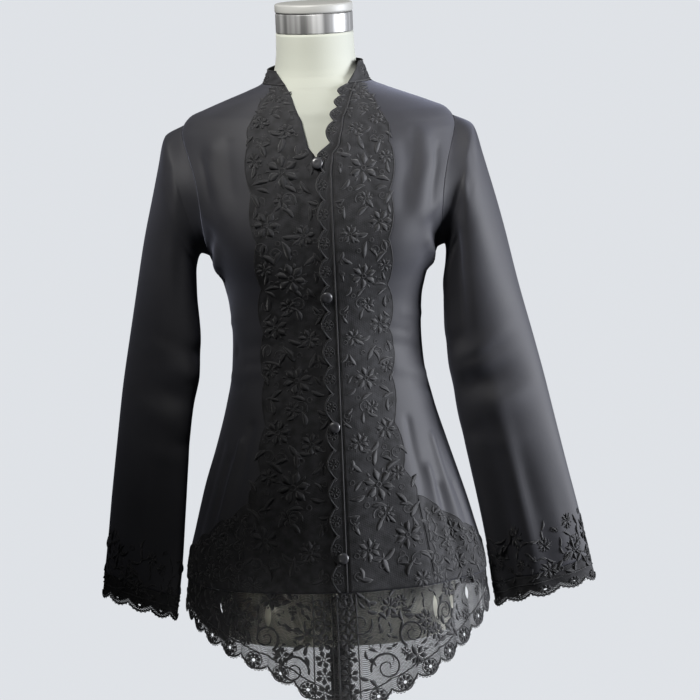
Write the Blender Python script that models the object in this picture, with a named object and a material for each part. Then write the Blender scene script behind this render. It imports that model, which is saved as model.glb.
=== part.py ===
"""Kebaya blouse worn on a limbless dress form with a round stand.

The front looks along -Y, the wearer's left is +X, +Z is up and the stand rests on z = 0. Sizes are metres.
Cloth is described on one skin around the figure: an angle (0 at the centre front, 90 at the wearer's left side,
180 at the centre back) and a level, which is the height up to the shoulder tip and then runs along the shoulder.
"""
import math

import bpy
import numpy as np

for old in list(bpy.data.objects):
    bpy.data.objects.remove(old, do_unlink=True)

# Driving sizes
CLOTH = 0.0012          # wall of the body fabric
LACE = 0.0010           # wall of the lace
SEAM = 0.0003           # gap between pieces sewn together
LAY = 0.0014            # height at which lace lies over the fabric
OVERLAP_LIFT = 0.0019   # how far the left front stands over the right front
FORM_EASE = 0.0009      # gap between the form and the cloth on the shoulders, where it hangs
HEM_LEVEL = 0.785       # lower edge of the fabric
WAIST_LEVEL = 1.070
UNDERARM_LEVEL = 1.190
SHOULDER_LEVEL = 1.360  # tip of the shoulder
NECK_LEVEL = 1.474      # neck seam
COLLAR_LEVEL = 1.502    # top of the collar
ARMHOLE_ANGLE = 24.0    # half width of the armhole
SCALLOP_DEPTH = 0.010
BUTTON_RADIUS = 0.0070
BUTTON_HEIGHT = 0.0035

# Sections of the skin
BODY_COLUMNS = ("level", "height", "half_width", "front", "back", "square")
BODY = np.array([
    (0.600, 0.600, 0.2030, 0.1580, 0.1560, 2.0),
    (0.700, 0.700, 0.1960, 0.1500, 0.1490, 2.0),
    (0.750, 0.750, 0.1900, 0.1440, 0.1440, 2.0),
    (0.800, 0.800, 0.1850, 0.1370, 0.1380, 2.0),
    (0.850, 0.850, 0.1730, 0.1280, 0.1310, 2.0),
    (0.900, 0.900, 0.1590, 0.1180, 0.1220, 2.0),
    (0.950, 0.950, 0.1430, 0.1080, 0.1090, 2.0),
    (1.000, 1.000, 0.1285, 0.0990, 0.0940, 2.0),
    (1.050, 1.050, 0.1185, 0.0930, 0.0830, 2.0),
    (1.090, 1.090, 0.1165, 0.0930, 0.0810, 2.05),
    (1.130, 1.130, 0.1190, 0.0980, 0.0870, 2.1),
    (1.160, 1.160, 0.1265, 0.1060, 0.0950, 2.15),
    (1.190, 1.190, 0.1400, 0.1130, 0.1010, 2.2),
    (1.217, 1.217, 0.1490, 0.1160, 0.1040, 2.25),
    (1.250, 1.250, 0.1575, 0.1140, 0.1050, 2.35),
    (1.285, 1.285, 0.1635, 0.1080, 0.1040, 2.3),
    (1.320, 1.320, 0.1680, 0.1000, 0.0980, 2.1),
    (1.345, 1.343, 0.1700, 0.0930, 0.0910, 1.9),
    (1.360, 1.357, 0.1700, 0.0875, 0.0855, 1.75),
    (1.390, 1.370, 0.1440, 0.0800, 0.0785, 1.75),
    (1.420, 1.382, 0.1140, 0.0725, 0.0715, 1.85),
    (1.450, 1.393, 0.0850, 0.0650, 0.0650, 2.0),
    (1.474, 1.402, 0.0665, 0.0600, 0.0600, 2.0),
    (1.490, 1.418, 0.0595, 0.0560, 0.0570, 2.0),
    (1.502, 1.431, 0.0560, 0.0540, 0.0560, 2.0),
    (1.515, 1.444, 0.0540, 0.0530, 0.0550, 2.0),
])

# Bust of a general figure
BUST_ANGLE = 41.0
BUST_SPREAD = 20.0
BUST_HEIGHT = 1.218
BUST_RISE = 0.046
BUST_DEPTH = 0.010

# Flutes of the skirt: they start at a level and reach full depth at the hem
FLUTE_COLUMNS = ("angle", "half_width", "depth", "start")
FLUTES = np.array([
    (-60.0, 10.0, 0.0028, 0.98),
    (-40.0, 9.0, 0.0045, 1.02),
    (-24.0, 7.0, -0.0040, 0.96),
    (35.0, 9.0, 0.0045, 1.02),
    (53.0, 9.0, -0.0036, 1.00),
    (71.0, 10.0, 0.0030, 0.98),
    (112.0, 9.0, 0.0055, 0.98),
    (134.0, 9.0, -0.0050, 0.96),
    (156.0, 10.0, 0.0060, 1.00),
    (180.0, 9.0, -0.0045, 0.95),
    (204.0, 10.0, 0.0060, 1.00),
    (227.0, 9.0, -0.0045, 0.97),
    (248.0, 9.0, 0.0050, 0.98),
])

# Creases: soft troughs or ridges along a straight run between two places on the skin
CREASE_COLUMNS = ("angle_a", "level_a", "angle_b", "level_b", "half_width", "depth")
CREASES = np.array([
    (50.0, 1.335, 46.0, 1.250, 0.013, 0.0045),
    (39.0, 1.325, 35.0, 1.255, 0.010, -0.0030),
    (-50.0, 1.330, -46.0, 1.255, 0.013, 0.0035),
    (74.0, 1.180, 58.0, 1.225, 0.010, -0.0040),
    (-74.0, 1.180, -60.0, 1.215, 0.010, -0.0035),
    (70.0, 1.070, 30.0, 1.085, 0.009, -0.0022),
    (-70.0, 1.075, -30.0, 1.090, 0.009, -0.0022),
    (80.0, 1.035, 45.0, 1.050, 0.009, 0.0022),
    (-80.0, 1.040, -45.0, 1.052, 0.009, 0.0022),
    (110.0, 1.060, 150.0, 1.075, 0.010, -0.0025),
    (250.0, 1.060, 210.0, 1.075, 0.010, -0.0025),
    (135.0, 1.300, 150.0, 1.190, 0.014, 0.0030),
    (225.0, 1.300, 210.0, 1.190, 0.014, 0.0030),
])
CREASE_RADIUS = 0.120

# Edge of the neck opening, as the distance of the cloth's edge from the middle
NECK_EDGE_COLUMNS = ("level", "distance")
NECK_EDGE = np.array([
    (1.322, 0.0060),
    (1.334, 0.0140),
    (1.360, 0.0180),
    (1.408, 0.0268),
    (1.440, 0.0310),
    (1.474, 0.0370),
    (1.490, 0.0480),
    (1.502, 0.0535),
])
UNDERLAP = 0.014        # how far the right front runs on past the middle
OVERLAP_EDGE = 0.003    # where the left front's fabric ends
BORDER_LAY = 0.0006     # height of the hem border, which follows the rows of the front under it
EDGING_WIDTH = 0.011    # how far the edging lies on the fabric

# Lower edge of the lace
HEM_COLUMNS = ("angle", "level")
HEM = np.array([
    (-181.0, 0.751), (-100.0, 0.752), (-85.0, 0.750), (-70.0, 0.742), (-55.0, 0.7245), (-40.0, 0.7075),
    (-30.0, 0.6945), (-20.0, 0.6785), (-10.0, 0.660), (0.0, 0.642), (10.0, 0.648), (20.0, 0.6605),
    (30.0, 0.676), (40.0, 0.690), (55.0, 0.7115), (70.0, 0.736), (85.0, 0.748), (100.0, 0.751), (181.0, 0.751),
])

# Sleeves: each row is a ring through its outer and inner points, flattened by half_depth and turned by turn degrees
SLEEVE_COLUMNS = ("outer_x", "outer_z", "inner_x", "inner_z", "half_depth", "middle_y", "turn")
SLEEVE_LEFT = np.array([
    (0.1830, 1.3540, 0.1475, 1.1965, 0.0560, 0.002, 0.0),
    (0.1940, 1.3360, 0.1515, 1.1930, 0.0580, 0.002, 0.0),
    (0.2030, 1.3040, 0.1525, 1.1850, 0.0590, 0.002, 0.0),
    (0.2140, 1.2620, 0.1510, 1.1700, 0.0580, 0.002, 2.0),
    (0.2270, 1.2080, 0.1475, 1.1420, 0.0540, 0.002, 4.0),
    (0.2410, 1.1450, 0.1470, 1.0950, 0.0470, 0.002, 6.0),
    (0.2560, 1.0820, 0.1510, 1.0430, 0.0400, 0.002, 8.0),
    (0.2710, 1.0180, 0.1590, 0.9850, 0.0340, 0.001, 8.0),
    (0.2850, 0.9550, 0.1710, 0.9230, 0.0300, 0.001, 8.0),
    (0.2970, 0.8980, 0.1815, 0.8640, 0.0270, 0.001, 8.0),
    (0.3100, 0.8400, 0.1905, 0.8070, 0.0245, 0.001, 8.0),
    (0.3200, 0.7920, 0.1960, 0.7610, 0.0230, 0.001, 8.0),
    (0.3260, 0.7620, 0.1985, 0.7330, 0.0225, 0.001, 8.0),
])
SLEEVE_RIGHT = np.array([
    (-0.1820, 1.3540, -0.1475, 1.1965, 0.0560, 0.002, 0.0),
    (-0.1930, 1.3360, -0.1530, 1.1930, 0.0580, 0.002, 0.0),
    (-0.2010, 1.3040, -0.1570, 1.1850, 0.0580, 0.002, 2.0),
    (-0.2110, 1.2620, -0.1590, 1.1700, 0.0560, 0.003, 8.0),
    (-0.2240, 1.2080, -0.1590, 1.1420, 0.0530, 0.004, 16.0),
    (-0.2370, 1.1450, -0.1570, 1.0950, 0.0510, 0.005, 26.0),
    (-0.2490, 1.0820, -0.1610, 1.0430, 0.0490, 0.006, 36.0),
    (-0.2610, 1.0180, -0.1730, 0.9850, 0.0480, 0.007, 44.0),
    (-0.2710, 0.9550, -0.1800, 0.9280, 0.0470, 0.008, 48.0),
    (-0.2790, 0.8980, -0.1850, 0.8730, 0.0460, 0.009, 52.0),
    (-0.2870, 0.8400, -0.1910, 0.8150, 0.0455, 0.010, 55.0),
    (-0.2950, 0.7870, -0.1980, 0.7670, 0.0450, 0.010, 57.0),
    (-0.2990, 0.7550, -0.2020, 0.7370, 0.0450, 0.010, 58.0),
])
SLEEVE_ROWS = 16
CUFF_ROW = 11           # ring at which the fabric ends and the cuff lace begins

# Folds of a sleeve: place around (0 outer, 90 front, 180 inner), place along, spreads and depth
SLEEVE_FOLD_COLUMNS = ("around", "around_spread", "along", "along_spread", "depth")
SLEEVE_FOLDS = np.array([
    (112.0, 22.0, 0.30, 0.14, -0.0060),
    (70.0, 26.0, 0.28, 0.16, 0.0030),
    (125.0, 40.0, 0.50, 0.030, 0.0045),
    (110.0, 45.0, 0.545, 0.022, -0.0045),
    (95.0, 40.0, 0.59, 0.028, 0.0040),
    (120.0, 26.0, 0.80, 0.16, -0.0040),
    (285.0, 26.0, 0.34, 0.15, -0.0045),
    (255.0, 40.0, 0.53, 0.030, -0.0040),
    (250.0, 40.0, 0.58, 0.030, 0.0035),
    (290.0, 30.0, 0.80, 0.16, 0.0030),
])

# Dress form
FORM_COLUMNS = ("height", "half_width", "front", "back", "square")
FORM_LOWER = np.array([
    (0.7090, 0.1360, 0.0990, 0.1040, 2.2),
    (0.7130, 0.1415, 0.1040, 0.1090, 2.2),
    (0.7250, 0.1440, 0.1060, 0.1110, 2.2),
    (0.8000, 0.1520, 0.1110, 0.1180, 2.1),
    (0.8700, 0.1520, 0.1100, 0.1160, 2.1),
    (0.9300, 0.1430, 0.1030, 0.1050, 2.0),
    (0.9900, 0.1270, 0.0940, 0.0900, 2.0),
    (1.0400, 0.1150, 0.0880, 0.0790, 2.0),
    (1.0900, 0.1115, 0.0880, 0.0760, 2.05),
    (1.1300, 0.1145, 0.0930, 0.0825, 2.1),
    (1.1600, 0.1225, 0.1020, 0.0915, 2.15),
])
FORM_NECK = np.array([
    (1.4100, 0.0560, 0.0520, 0.0540, 2.0),
    (1.4220, 0.0510, 0.0490, 0.0500, 2.0),
    (1.4420, 0.0485, 0.0475, 0.0485, 2.0),
    (1.4640, 0.0480, 0.0475, 0.0480, 2.0),
])
FORM_UPPER_LEVELS = (1.190, 1.217, 1.250, 1.285, 1.320, 1.345, 1.360, 1.390, 1.420, 1.450, 1.474)
NECK_CENTRE_Y = 0.0
BAND_BOTTOM = 1.4645
BAND_TOP = 1.4885
BAND_RADIUS = 0.0478
CAP_TOP = 1.5005
POLE_RADIUS = 0.0130
BASE_RADIUS = 0.1700

# Buttons down the middle of the front
BUTTON_COLUMNS = ("distance", "level")
BUTTONS = ((-0.0030, 1.3110), (0.0020, 1.1490), (0.0050, 0.9850), (0.0090, 0.8270))


def curve(table, column, at):
    """Smooth value of one column of a table, its first column being the place."""
    knots, values = table[:, 0], table[:, column]
    step = np.diff(knots)
    slope = np.diff(values) / step
    tangent = np.zeros(len(knots))
    same = slope[:-1] * slope[1:] > 0
    total = np.where(same, slope[:-1] + slope[1:], 1.0)
    tangent[1:-1] = np.where(same, 2 * slope[:-1] * slope[1:] / total, 0.0)
    tangent[0], tangent[-1] = slope[0], slope[-1]
    at = np.asarray(at, float)
    i = np.clip(np.searchsorted(knots, at, side="right") - 1, 0, len(knots) - 2)
    s = (at - knots[i]) / step[i]
    rise = (2 * s**3 - 3 * s**2 + 1) * values[i] + (3 * s**2 - 2 * s**3) * values[i + 1]
    return rise + step[i] * ((s**3 - 2 * s**2 + s) * tangent[i] + (s**3 - s**2) * tangent[i + 1])


def smooth(value, low, high):
    """0 below low, 1 above high, eased between."""
    s = np.clip((value - low) / (high - low), 0.0, 1.0)
    return s * s * (3 - 2 * s)


def wrapped(angle):
    """Angle brought between -180 and 180."""
    return (angle + 180.0) % 360.0 - 180.0


def oval(angle, half_width, front, back, square, height):
    """Point of a squared oval section: its front half is front deep and its back half is back deep."""
    turn = np.radians(angle)
    side, ahead = np.sin(turn), np.cos(turn)
    x = half_width * np.sign(side) * np.abs(side) ** (2 / square)
    y = -np.sign(ahead) * np.where(ahead > 0, front, back) * np.abs(ahead) ** (2 / square)
    return np.stack(np.broadcast_arrays(x, y, height), axis=-1)


def skin(angle, level):
    """Smooth skin of the figure, with the bust, before folds."""
    height, half_width, front, back, square = (curve(BODY, k, level) for k in range(1, 6))
    point = oval(angle, half_width, front, back, square, height)
    for side in (-1, 1):
        around = (wrapped(angle) - side * BUST_ANGLE) / BUST_SPREAD
        up = (height - BUST_HEIGHT) / BUST_RISE
        point[..., 1] -= BUST_DEPTH * np.exp(-around**2 - up**2)
    return point


def outward(angle, level):
    """Unit normal of the skin."""
    across = skin(angle + 0.6, level) - skin(angle - 0.6, level)
    along = skin(angle, level + 0.002) - skin(angle, level - 0.002)
    normal = np.cross(across, along)
    return normal / np.linalg.norm(normal, axis=-1, keepdims=True)


def folds(angle, level):
    """Height of the flutes and creases over the skin."""
    raised = np.zeros(np.broadcast(angle, level).shape)
    for place, half_width, depth, start in FLUTES:
        around = wrapped(angle - place) / half_width
        raised = raised + depth * smooth(-level, -start, -HEM_LEVEL) * np.exp(-around**2)
    for angle_a, level_a, angle_b, level_b, half_width, depth in CREASES:
        run = np.array([math.radians(angle_b - angle_a) * CREASE_RADIUS, level_b - level_a])
        x = np.radians(wrapped(angle - angle_a)) * CREASE_RADIUS
        y = level - level_a
        s = np.clip((x * run[0] + y * run[1]) / (run @ run), 0, 1)
        away = ((x - s * run[0]) ** 2 + (y - s * run[1]) ** 2) / half_width**2
        raised = raised + depth * np.exp(-away)
    return raised


def cloth(angle, level, out):
    """Point on the worn cloth, out metres over its inner face."""
    angle, level = np.broadcast_arrays(np.asarray(angle, float), np.asarray(level, float))
    return skin(angle, level) + (folds(angle, level) + out)[..., None] * outward(angle, level)


def angle_at(distance, level):
    """Angle on the front at which the skin is this far from the middle."""
    half_width, square = curve(BODY, 2, level), curve(BODY, 5, level)
    share = np.clip(np.abs(distance) / half_width, 0, 1) ** (square / 2)
    return np.sign(distance) * np.degrees(np.arcsin(share))


def overlap_lift(angle, level):
    """How far the left front stands out to lie over the right front."""
    distance = skin(angle, level)[..., 0]
    return OVERLAP_LIFT * (1 - smooth(distance, 0.022, 0.070)) * (1 - smooth(level, 1.325, 1.365))


def material(name, colour, roughness, metallic=0.0):
    made = bpy.data.materials.get(name)
    if made is None:
        made = bpy.data.materials.new(name)
        made.use_nodes = True
        shader = made.node_tree.nodes["Principled BSDF"]
        shader.inputs["Base Color"].default_value = (*colour, 1.0)
        shader.inputs["Roughness"].default_value = roughness
        shader.inputs["Metallic"].default_value = metallic
    return made


def build(name, points, faces, look):
    mesh = bpy.data.meshes.new(name)
    mesh.from_pydata([tuple(p) for p in points], [], faces)
    mesh.materials.append(look)
    mesh.update()
    mesh.polygons.foreach_set("use_smooth", [True] * len(mesh.polygons))
    made = bpy.data.objects.new(name, mesh)
    bpy.context.scene.collection.objects.link(made)
    return made


def wall(name, outer, inner, look, closed=False, holes=()):
    """Closed wall between two grids of points, rows upward and columns toward the wearer's left.

    closed joins the last column to the first. holes are (row, column, share): an eight-sided hole takes the place
    of the four cells around that grid point and reaches that share of the way to them.
    """
    rows, columns = outer.shape[:2]
    points = np.concatenate([outer.reshape(-1, 3), inner.reshape(-1, 3)])
    inner_start = rows * columns
    spans = columns if closed else columns - 1

    def at(row, column):
        return row * columns + column % columns

    faces = []

    def patch(a, b, c, d):
        """Two triangles over four points, and the same two the other way round on the inner side."""
        faces.extend(((a, b, c), (a, c, d)))
        a, b, c, d = (k + inner_start for k in (a, b, c, d))
        faces.extend(((a, c, b), (a, d, c)))

    cut = {(row - 1 + i, column - 1 + j) for row, column, share in holes for i in (0, 1) for j in (0, 1)}
    for row in range(rows - 1):
        for column in range(spans):
            if (row, column) in cut:
                continue
            patch(at(row, column), at(row, column + 1), at(row + 1, column + 1), at(row + 1, column))
    around = ((-1, -1), (-1, 0), (-1, 1), (0, 1), (1, 1), (1, 0), (1, -1), (0, -1))
    extra = []
    for row, column, share in holes:
        centre = at(row, column)
        ring = [at(row + i, column + j) for i, j in around]
        first = len(points) + len(extra)
        for start in (0, inner_start):
            for k, (i, j) in zip(ring, around):
                reach = share * (0.72 if i and j else 1.0)
                extra.append(points[start + centre] + reach * (points[start + k] - points[start + centre]))
        for k in range(8):
            after = (k + 1) % 8
            a, b, c, d = ring[k], ring[after], first + after, first + k
            faces.extend(((a, b, c), (a, c, d)))
            a, b, c, d = inner_start + a, inner_start + b, c + 8, d + 8
            faces.extend(((a, c, b), (a, d, c)))
            faces.append((first + k, first + after, first + 8 + after, first + 8 + k))
    if extra:
        points = np.concatenate([points, np.array(extra)])
    for column in range(spans):
        for row, turn in ((0, 1), (rows - 1, -1)):
            a, b = at(row, column), at(row, column + 1)
            faces.append((a, inner_start + a, inner_start + b, b)[::turn])
    if not closed:
        for row in range(rows - 1):
            for column, turn in ((0, -1), (columns - 1, 1)):
                a, b = at(row, column), at(row + 1, column)
                faces.append((a, inner_start + a, inner_start + b, b)[::turn])
    used = sorted({k for face in faces for k in face})
    place = {k: i for i, k in enumerate(used)}
    return build(name, points[used], [tuple(place[k] for k in face) for face in faces], look)


def skin_wall(name, angle, level, low, thickness, look, holes=()):
    """Wall on the skin from grids of angle and level, low metres over the cloth's inner face."""
    return wall(name, cloth(angle, level, low + thickness), cloth(angle, level, low), look, holes=holes)


def turned(name, profile, look, sides, centre=(0.0, 0.0, 0.0)):
    """Solid of revolution about a vertical line, from (radius, height) pairs going up."""
    turn = np.arange(sides) * 2 * math.pi / sides
    points, faces, rings = [], [], []
    for radius, height in profile:
        rings.append(len(points))
        for t in turn:
            points.append((centre[0] + radius * math.cos(t), centre[1] + radius * math.sin(t), centre[2] + height))
    for low, high in zip(rings, rings[1:]):
        for k in range(sides):
            after = (k + 1) % sides
            faces.append((low + k, low + after, high + after, high + k))
    faces.append(tuple(reversed(range(rings[0], rings[0] + sides))))
    faces.append(tuple(range(rings[-1], rings[-1] + sides)))
    return build(name, points, faces, look)


def scalloped(share, pitch_count):
    """Depth of the scalloped edge, 1 at each tip and 0 between them."""
    return np.abs(np.sin(np.pi * share * pitch_count)) ** 0.8


def scallop_columns(count):
    """Shares along an edge: four columns a scallop, at the gap, the shoulder, the tip and the shoulder."""
    steps = np.array([0.0, 0.2, 0.5, 0.8])
    shares = (np.arange(count)[:, None] + steps[None, :]).ravel() / count
    return np.append(shares, 1.0)


fabric_look = material("black_cloth", (0.020, 0.020, 0.023), 0.62)
lace_look = material("black_lace", (0.012, 0.012, 0.014), 0.80)
button_look = material("button_shell", (0.26, 0.26, 0.28), 0.25)
form_look = material("form_cover", (0.78, 0.75, 0.68), 0.70)
cap_look = material("cap_grey", (0.62, 0.60, 0.56), 0.55)
chrome_look = material("bright_metal", (0.72, 0.72, 0.74), 0.12, 1.0)

# Levels of the rows of the body panels: skirt, waist to underarm, armhole, shoulder
armhole_steps = (1 - np.cos(np.linspace(0, math.pi, 10))) / 2
skirt_levels = np.linspace(HEM_LEVEL, WAIST_LEVEL, 9)[:-1]
waist_levels = np.linspace(WAIST_LEVEL, UNDERARM_LEVEL, 5)[:-1]
armhole_levels = UNDERARM_LEVEL + (SHOULDER_LEVEL - UNDERARM_LEVEL) * armhole_steps
shoulder_levels = np.linspace(SHOULDER_LEVEL, NECK_LEVEL - SEAM / 2, 6)[1:]
panel_levels = np.concatenate([skirt_levels, waist_levels, armhole_levels, shoulder_levels])
ARMHOLE_FIRST = len(skirt_levels) + len(waist_levels)
ARMHOLE_LAST = ARMHOLE_FIRST + len(armhole_levels) - 1


def side_cut(level):
    """How far short of the side line a panel ends: the seam gap, and the armhole between underarm and shoulder."""
    share = np.clip((level - UNDERARM_LEVEL) / (SHOULDER_LEVEL - UNDERARM_LEVEL), 0, 1)
    half_width = curve(BODY, 2, level)
    return np.degrees(SEAM / 2 / half_width) + ARMHOLE_ANGLE * np.sin(math.pi * share) ** 0.75


def spread(first, last, columns):
    """Grid of angles, one row for each pair of ends."""
    return first[:, None] + (last - first)[:, None] * np.linspace(0, 1, columns)[None, :]


def edge_distance(level, below):
    """Distance of a front's edge from the middle: the neck edge at the top, and the value below under it."""
    first, low = NECK_EDGE[0]
    neck = curve(NECK_EDGE, 1, np.maximum(level, first))
    return np.where(level < first, below + (low - below) * smooth(level, first - 0.026, first), neck)


def opening_edge(level, below, beside=0.0):
    """Angle of a front's edge, or of a line beside it."""
    return angle_at(edge_distance(level, below) + beside, level)


cut = side_cut(panel_levels)
grid_levels = np.repeat(panel_levels[:, None], 18, axis=1)

# Back, one piece from the hem to the neck
back_angles = spread(90 + cut, 270 - cut, 18)
back_outer = cloth(back_angles, grid_levels, CLOTH)
skin_wall("back", back_angles, grid_levels, 0.0, CLOTH, fabric_look)

# Fronts: the wearer's left one laps over the right one
front_levels = grid_levels[:, :11]
right_angles = spread(cut - 90, -opening_edge(panel_levels, -UNDERLAP), 11)
right_outer = cloth(right_angles, front_levels, CLOTH)
skin_wall("front_right", right_angles, front_levels, 0.0, CLOTH, fabric_look)
left_angles = spread(opening_edge(panel_levels, OVERLAP_EDGE), 90 - cut, 11)
left_lift = overlap_lift(left_angles, front_levels)
left_outer = cloth(left_angles, front_levels, left_lift + CLOTH)
skin_wall("front_left", left_angles, front_levels, left_lift, CLOTH, fabric_look)

# Collar: a low stand around the back of the neck, ending in a point over each neck edge
collar_levels = np.linspace(NECK_LEVEL + 3 * SEAM, COLLAR_LEVEL, 4)
collar_ends = angle_at(curve(NECK_EDGE, 1, collar_levels), collar_levels)
collar_angles = spread(collar_ends, 360 - collar_ends, 23)
collar_grid = np.repeat(collar_levels[:, None], 23, axis=1)
skin_wall("collar", collar_angles, collar_grid, 0.0, CLOTH, lace_look)


def lace_front(side, name):
    """Lace laid on a front beside the opening, its outer edge in soft lobes."""
    levels = np.concatenate([np.linspace(HEM_LEVEL + 0.001, SHOULDER_LEVEL, 27), shoulder_levels[1:-1:2],
                             [NECK_LEVEL - 0.001]])
    lobes = 0.006 * np.abs(np.sin(levels * math.pi / 0.058)) ** 0.7
    reach = np.interp(levels, (0.785, 0.86, 0.93, 1.00, 1.16, 1.25, 1.33, 1.36, 1.42, 1.474),
                      (0.1075, 0.098, 0.085, 0.076, 0.076, 0.082, 0.086, 0.080, 0.064, 0.048)) + lobes
    if side > 0:
        angles = spread(opening_edge(levels, OVERLAP_EDGE, EDGING_WIDTH + 0.0010), angle_at(reach, levels), 5)
    else:
        near = -opening_edge(levels, -OVERLAP_EDGE + 0.0012, 0.0006)
        angles = spread(angle_at(-reach, levels), near, 5)
    grid = np.repeat(levels[:, None], 5, axis=1)
    lift = overlap_lift(angles, grid) if side > 0 else 0.0
    lift = lift + 0.0005 * smooth(grid, 1.40, 1.45)
    skin_wall(name, angles, grid, lift + CLOTH + LAY, LACE, lace_look)


lace_front(-1, "front_lace_right")
lace_front(1, "front_lace_left")

# Edging of the left front: a scalloped strip that reaches past the fabric's edge, from the neck to the hem
edging_count = 20
edging_shares = scallop_columns(edging_count)
edging_levels = HEM_LEVEL + 0.001 + (NECK_LEVEL - 0.002 - HEM_LEVEL) * edging_shares
tips = 0.0085 * scalloped(edging_shares, edging_count)
edging_angles = np.stack([angle_at(edge_distance(edging_levels, OVERLAP_EDGE) - tips, edging_levels),
                          opening_edge(edging_levels, OVERLAP_EDGE, EDGING_WIDTH)], axis=1)
edging_grid = np.repeat(edging_levels[:, None], 2, axis=1)
skin_wall("edging_left", edging_angles, edging_grid, overlap_lift(edging_angles, edging_grid) + CLOTH + LAY,
          LACE, lace_look)


def on_panel(panel, row, column):
    """Point on the flat facets of a panel's grid, at fractional rows and columns."""
    i = np.clip(row.astype(int), 0, panel.shape[0] - 2)
    j = np.clip(column.astype(int), 0, panel.shape[1] - 2)
    v, u = (row - i)[..., None], (column - j)[..., None]
    a, b, c, d = panel[i, j], panel[i, j + 1], panel[i + 1, j + 1], panel[i + 1, j]
    return np.where(v <= u, a + u * (b - a) + v * (c - b), a + v * (d - a) + u * (c - d))


def border(side, name, panel, angles):
    """Lace laid on a front along the hem, its upper edge rising in an arch toward the opening."""
    spans = panel.shape[1] - 1
    share = np.concatenate([[0.43], np.arange(10) * 0.05 + 0.5, [0.99]])
    along = (share - share[0]) / (share[-1] - share[0])
    top = 0.030 + 0.078 * (1 - along) ** 1.25 + 0.007 * np.abs(np.sin(along * math.pi * 4)) ** 0.7
    low, high = np.full_like(top, HEM_LEVEL + 0.001), HEM_LEVEL + 0.001 + top
    first = np.minimum(panel_levels[1], (low + high) / 2)
    level = np.stack([low, first, (first + high) / 2, high])
    column = np.repeat((share if side > 0 else 1 - share)[None, :] * spans, len(level), axis=0)
    if side < 0:
        column, level = column[:, ::-1], level[:, ::-1]
    row = np.interp(level, panel_levels, np.arange(len(panel_levels)))
    angle = on_panel(angles[..., None], row, column)[..., 0]
    seat, normal = on_panel(panel, row, column), outward(angle, level)
    lay = np.where(level < HEM_LEVEL + 0.002, SEAM, BORDER_LAY)[..., None]
    wall(name, seat + (lay + LACE) * normal, seat + lay * normal, lace_look)


border(-1, "border_lace_right", right_outer, right_angles)
border(1, "border_lace_left", left_outer, left_angles)


def hem_lace(name, first, last, count, rows, lift, slots):
    """Sheer lace below the fabric's hem, scalloped, with an eyelet in each scallop and slots between the motifs."""
    shares = scallop_columns(count)
    angle = first + (last - first) * shares
    tip = scalloped(shares, count) - 0.5
    edge = curve(HEM, 1, wrapped(angle))
    level = [edge - SCALLOP_DEPTH * tip, edge + 0.0040 - 0.0070 * tip, edge + 0.0085 - 0.0060 * tip]
    last_fixed = edge + 0.0150
    if rows > 1:
        level.append(last_fixed)
    top = HEM_LEVEL - SEAM
    level += [last_fixed + (top - last_fixed) * (k + 1) / rows for k in range(rows)]
    level = np.stack(level)
    angles = np.repeat(angle[None, :], len(level), axis=0)
    holes = [(2, 4 * k + 2, 0.36) for k in range(count)]
    holes += [(row, column, 0.58) for row, column in slots]
    lifts = OVERLAP_LIFT * (1 - smooth(np.abs(wrapped(angles)), 9.0, 30.0)) if lift else 0.0
    skin_wall(name, angles, level, lifts, LACE, lace_look, holes=holes)


left_slots = [(5, 16), (5, 20), (5, 24)]
right_slots = [(5, 16), (5, 24)]
seam_angle = float(np.degrees(SEAM / 2 / 0.19))
hem_lace("hem_lace_left", -2.0, 90 - seam_angle, 9, 3, True, left_slots)
hem_lace("hem_lace_right", -90 + seam_angle, 4.0, 9, 3, False, right_slots)
hem_lace("hem_lace_back", 90 + seam_angle, 270 - seam_angle, 15, 1, False, [])


def sleeve_point(table, along, around, out):
    """Point on a sleeve: along runs through the rings, around starts at the outer side and goes to the front."""
    rows = np.column_stack([np.arange(len(table)), table])
    outer_x, outer_z, inner_x, inner_z, half_depth, middle_y, turn = (curve(rows, k, along) for k in range(1, 8))
    raised = out
    share = along / (len(table) - 1)
    for place, place_spread, place_along, along_spread, depth in SLEEVE_FOLDS:
        away = (wrapped(around - place) / place_spread) ** 2 + ((share - place_along) / along_spread) ** 2
        raised = raised + depth * np.exp(-away)
    t = np.radians(around)
    length = np.hypot(outer_x - inner_x, outer_z - inner_z)
    half = 1 + 2 * raised / length
    x = (outer_x + inner_x) / 2 + half * (outer_x - inner_x) / 2 * np.cos(t)
    z = (outer_z + inner_z) / 2 + half * (outer_z - inner_z) / 2 * np.cos(t)
    y = middle_y - (half_depth + raised) * np.sin(t - np.radians(turn))
    return np.stack(np.broadcast_arrays(x, y, z), axis=-1)


def grid_normals(grid, closed):
    """Unit normals of a grid of points, from differences along rows and columns."""
    if closed:
        across = np.roll(grid, -1, axis=1) - np.roll(grid, 1, axis=1)
    else:
        across = np.gradient(grid, axis=1)
    along = np.gradient(grid, axis=0)
    normal = np.cross(across, along)
    return normal / np.linalg.norm(normal, axis=-1, keepdims=True)


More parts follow.
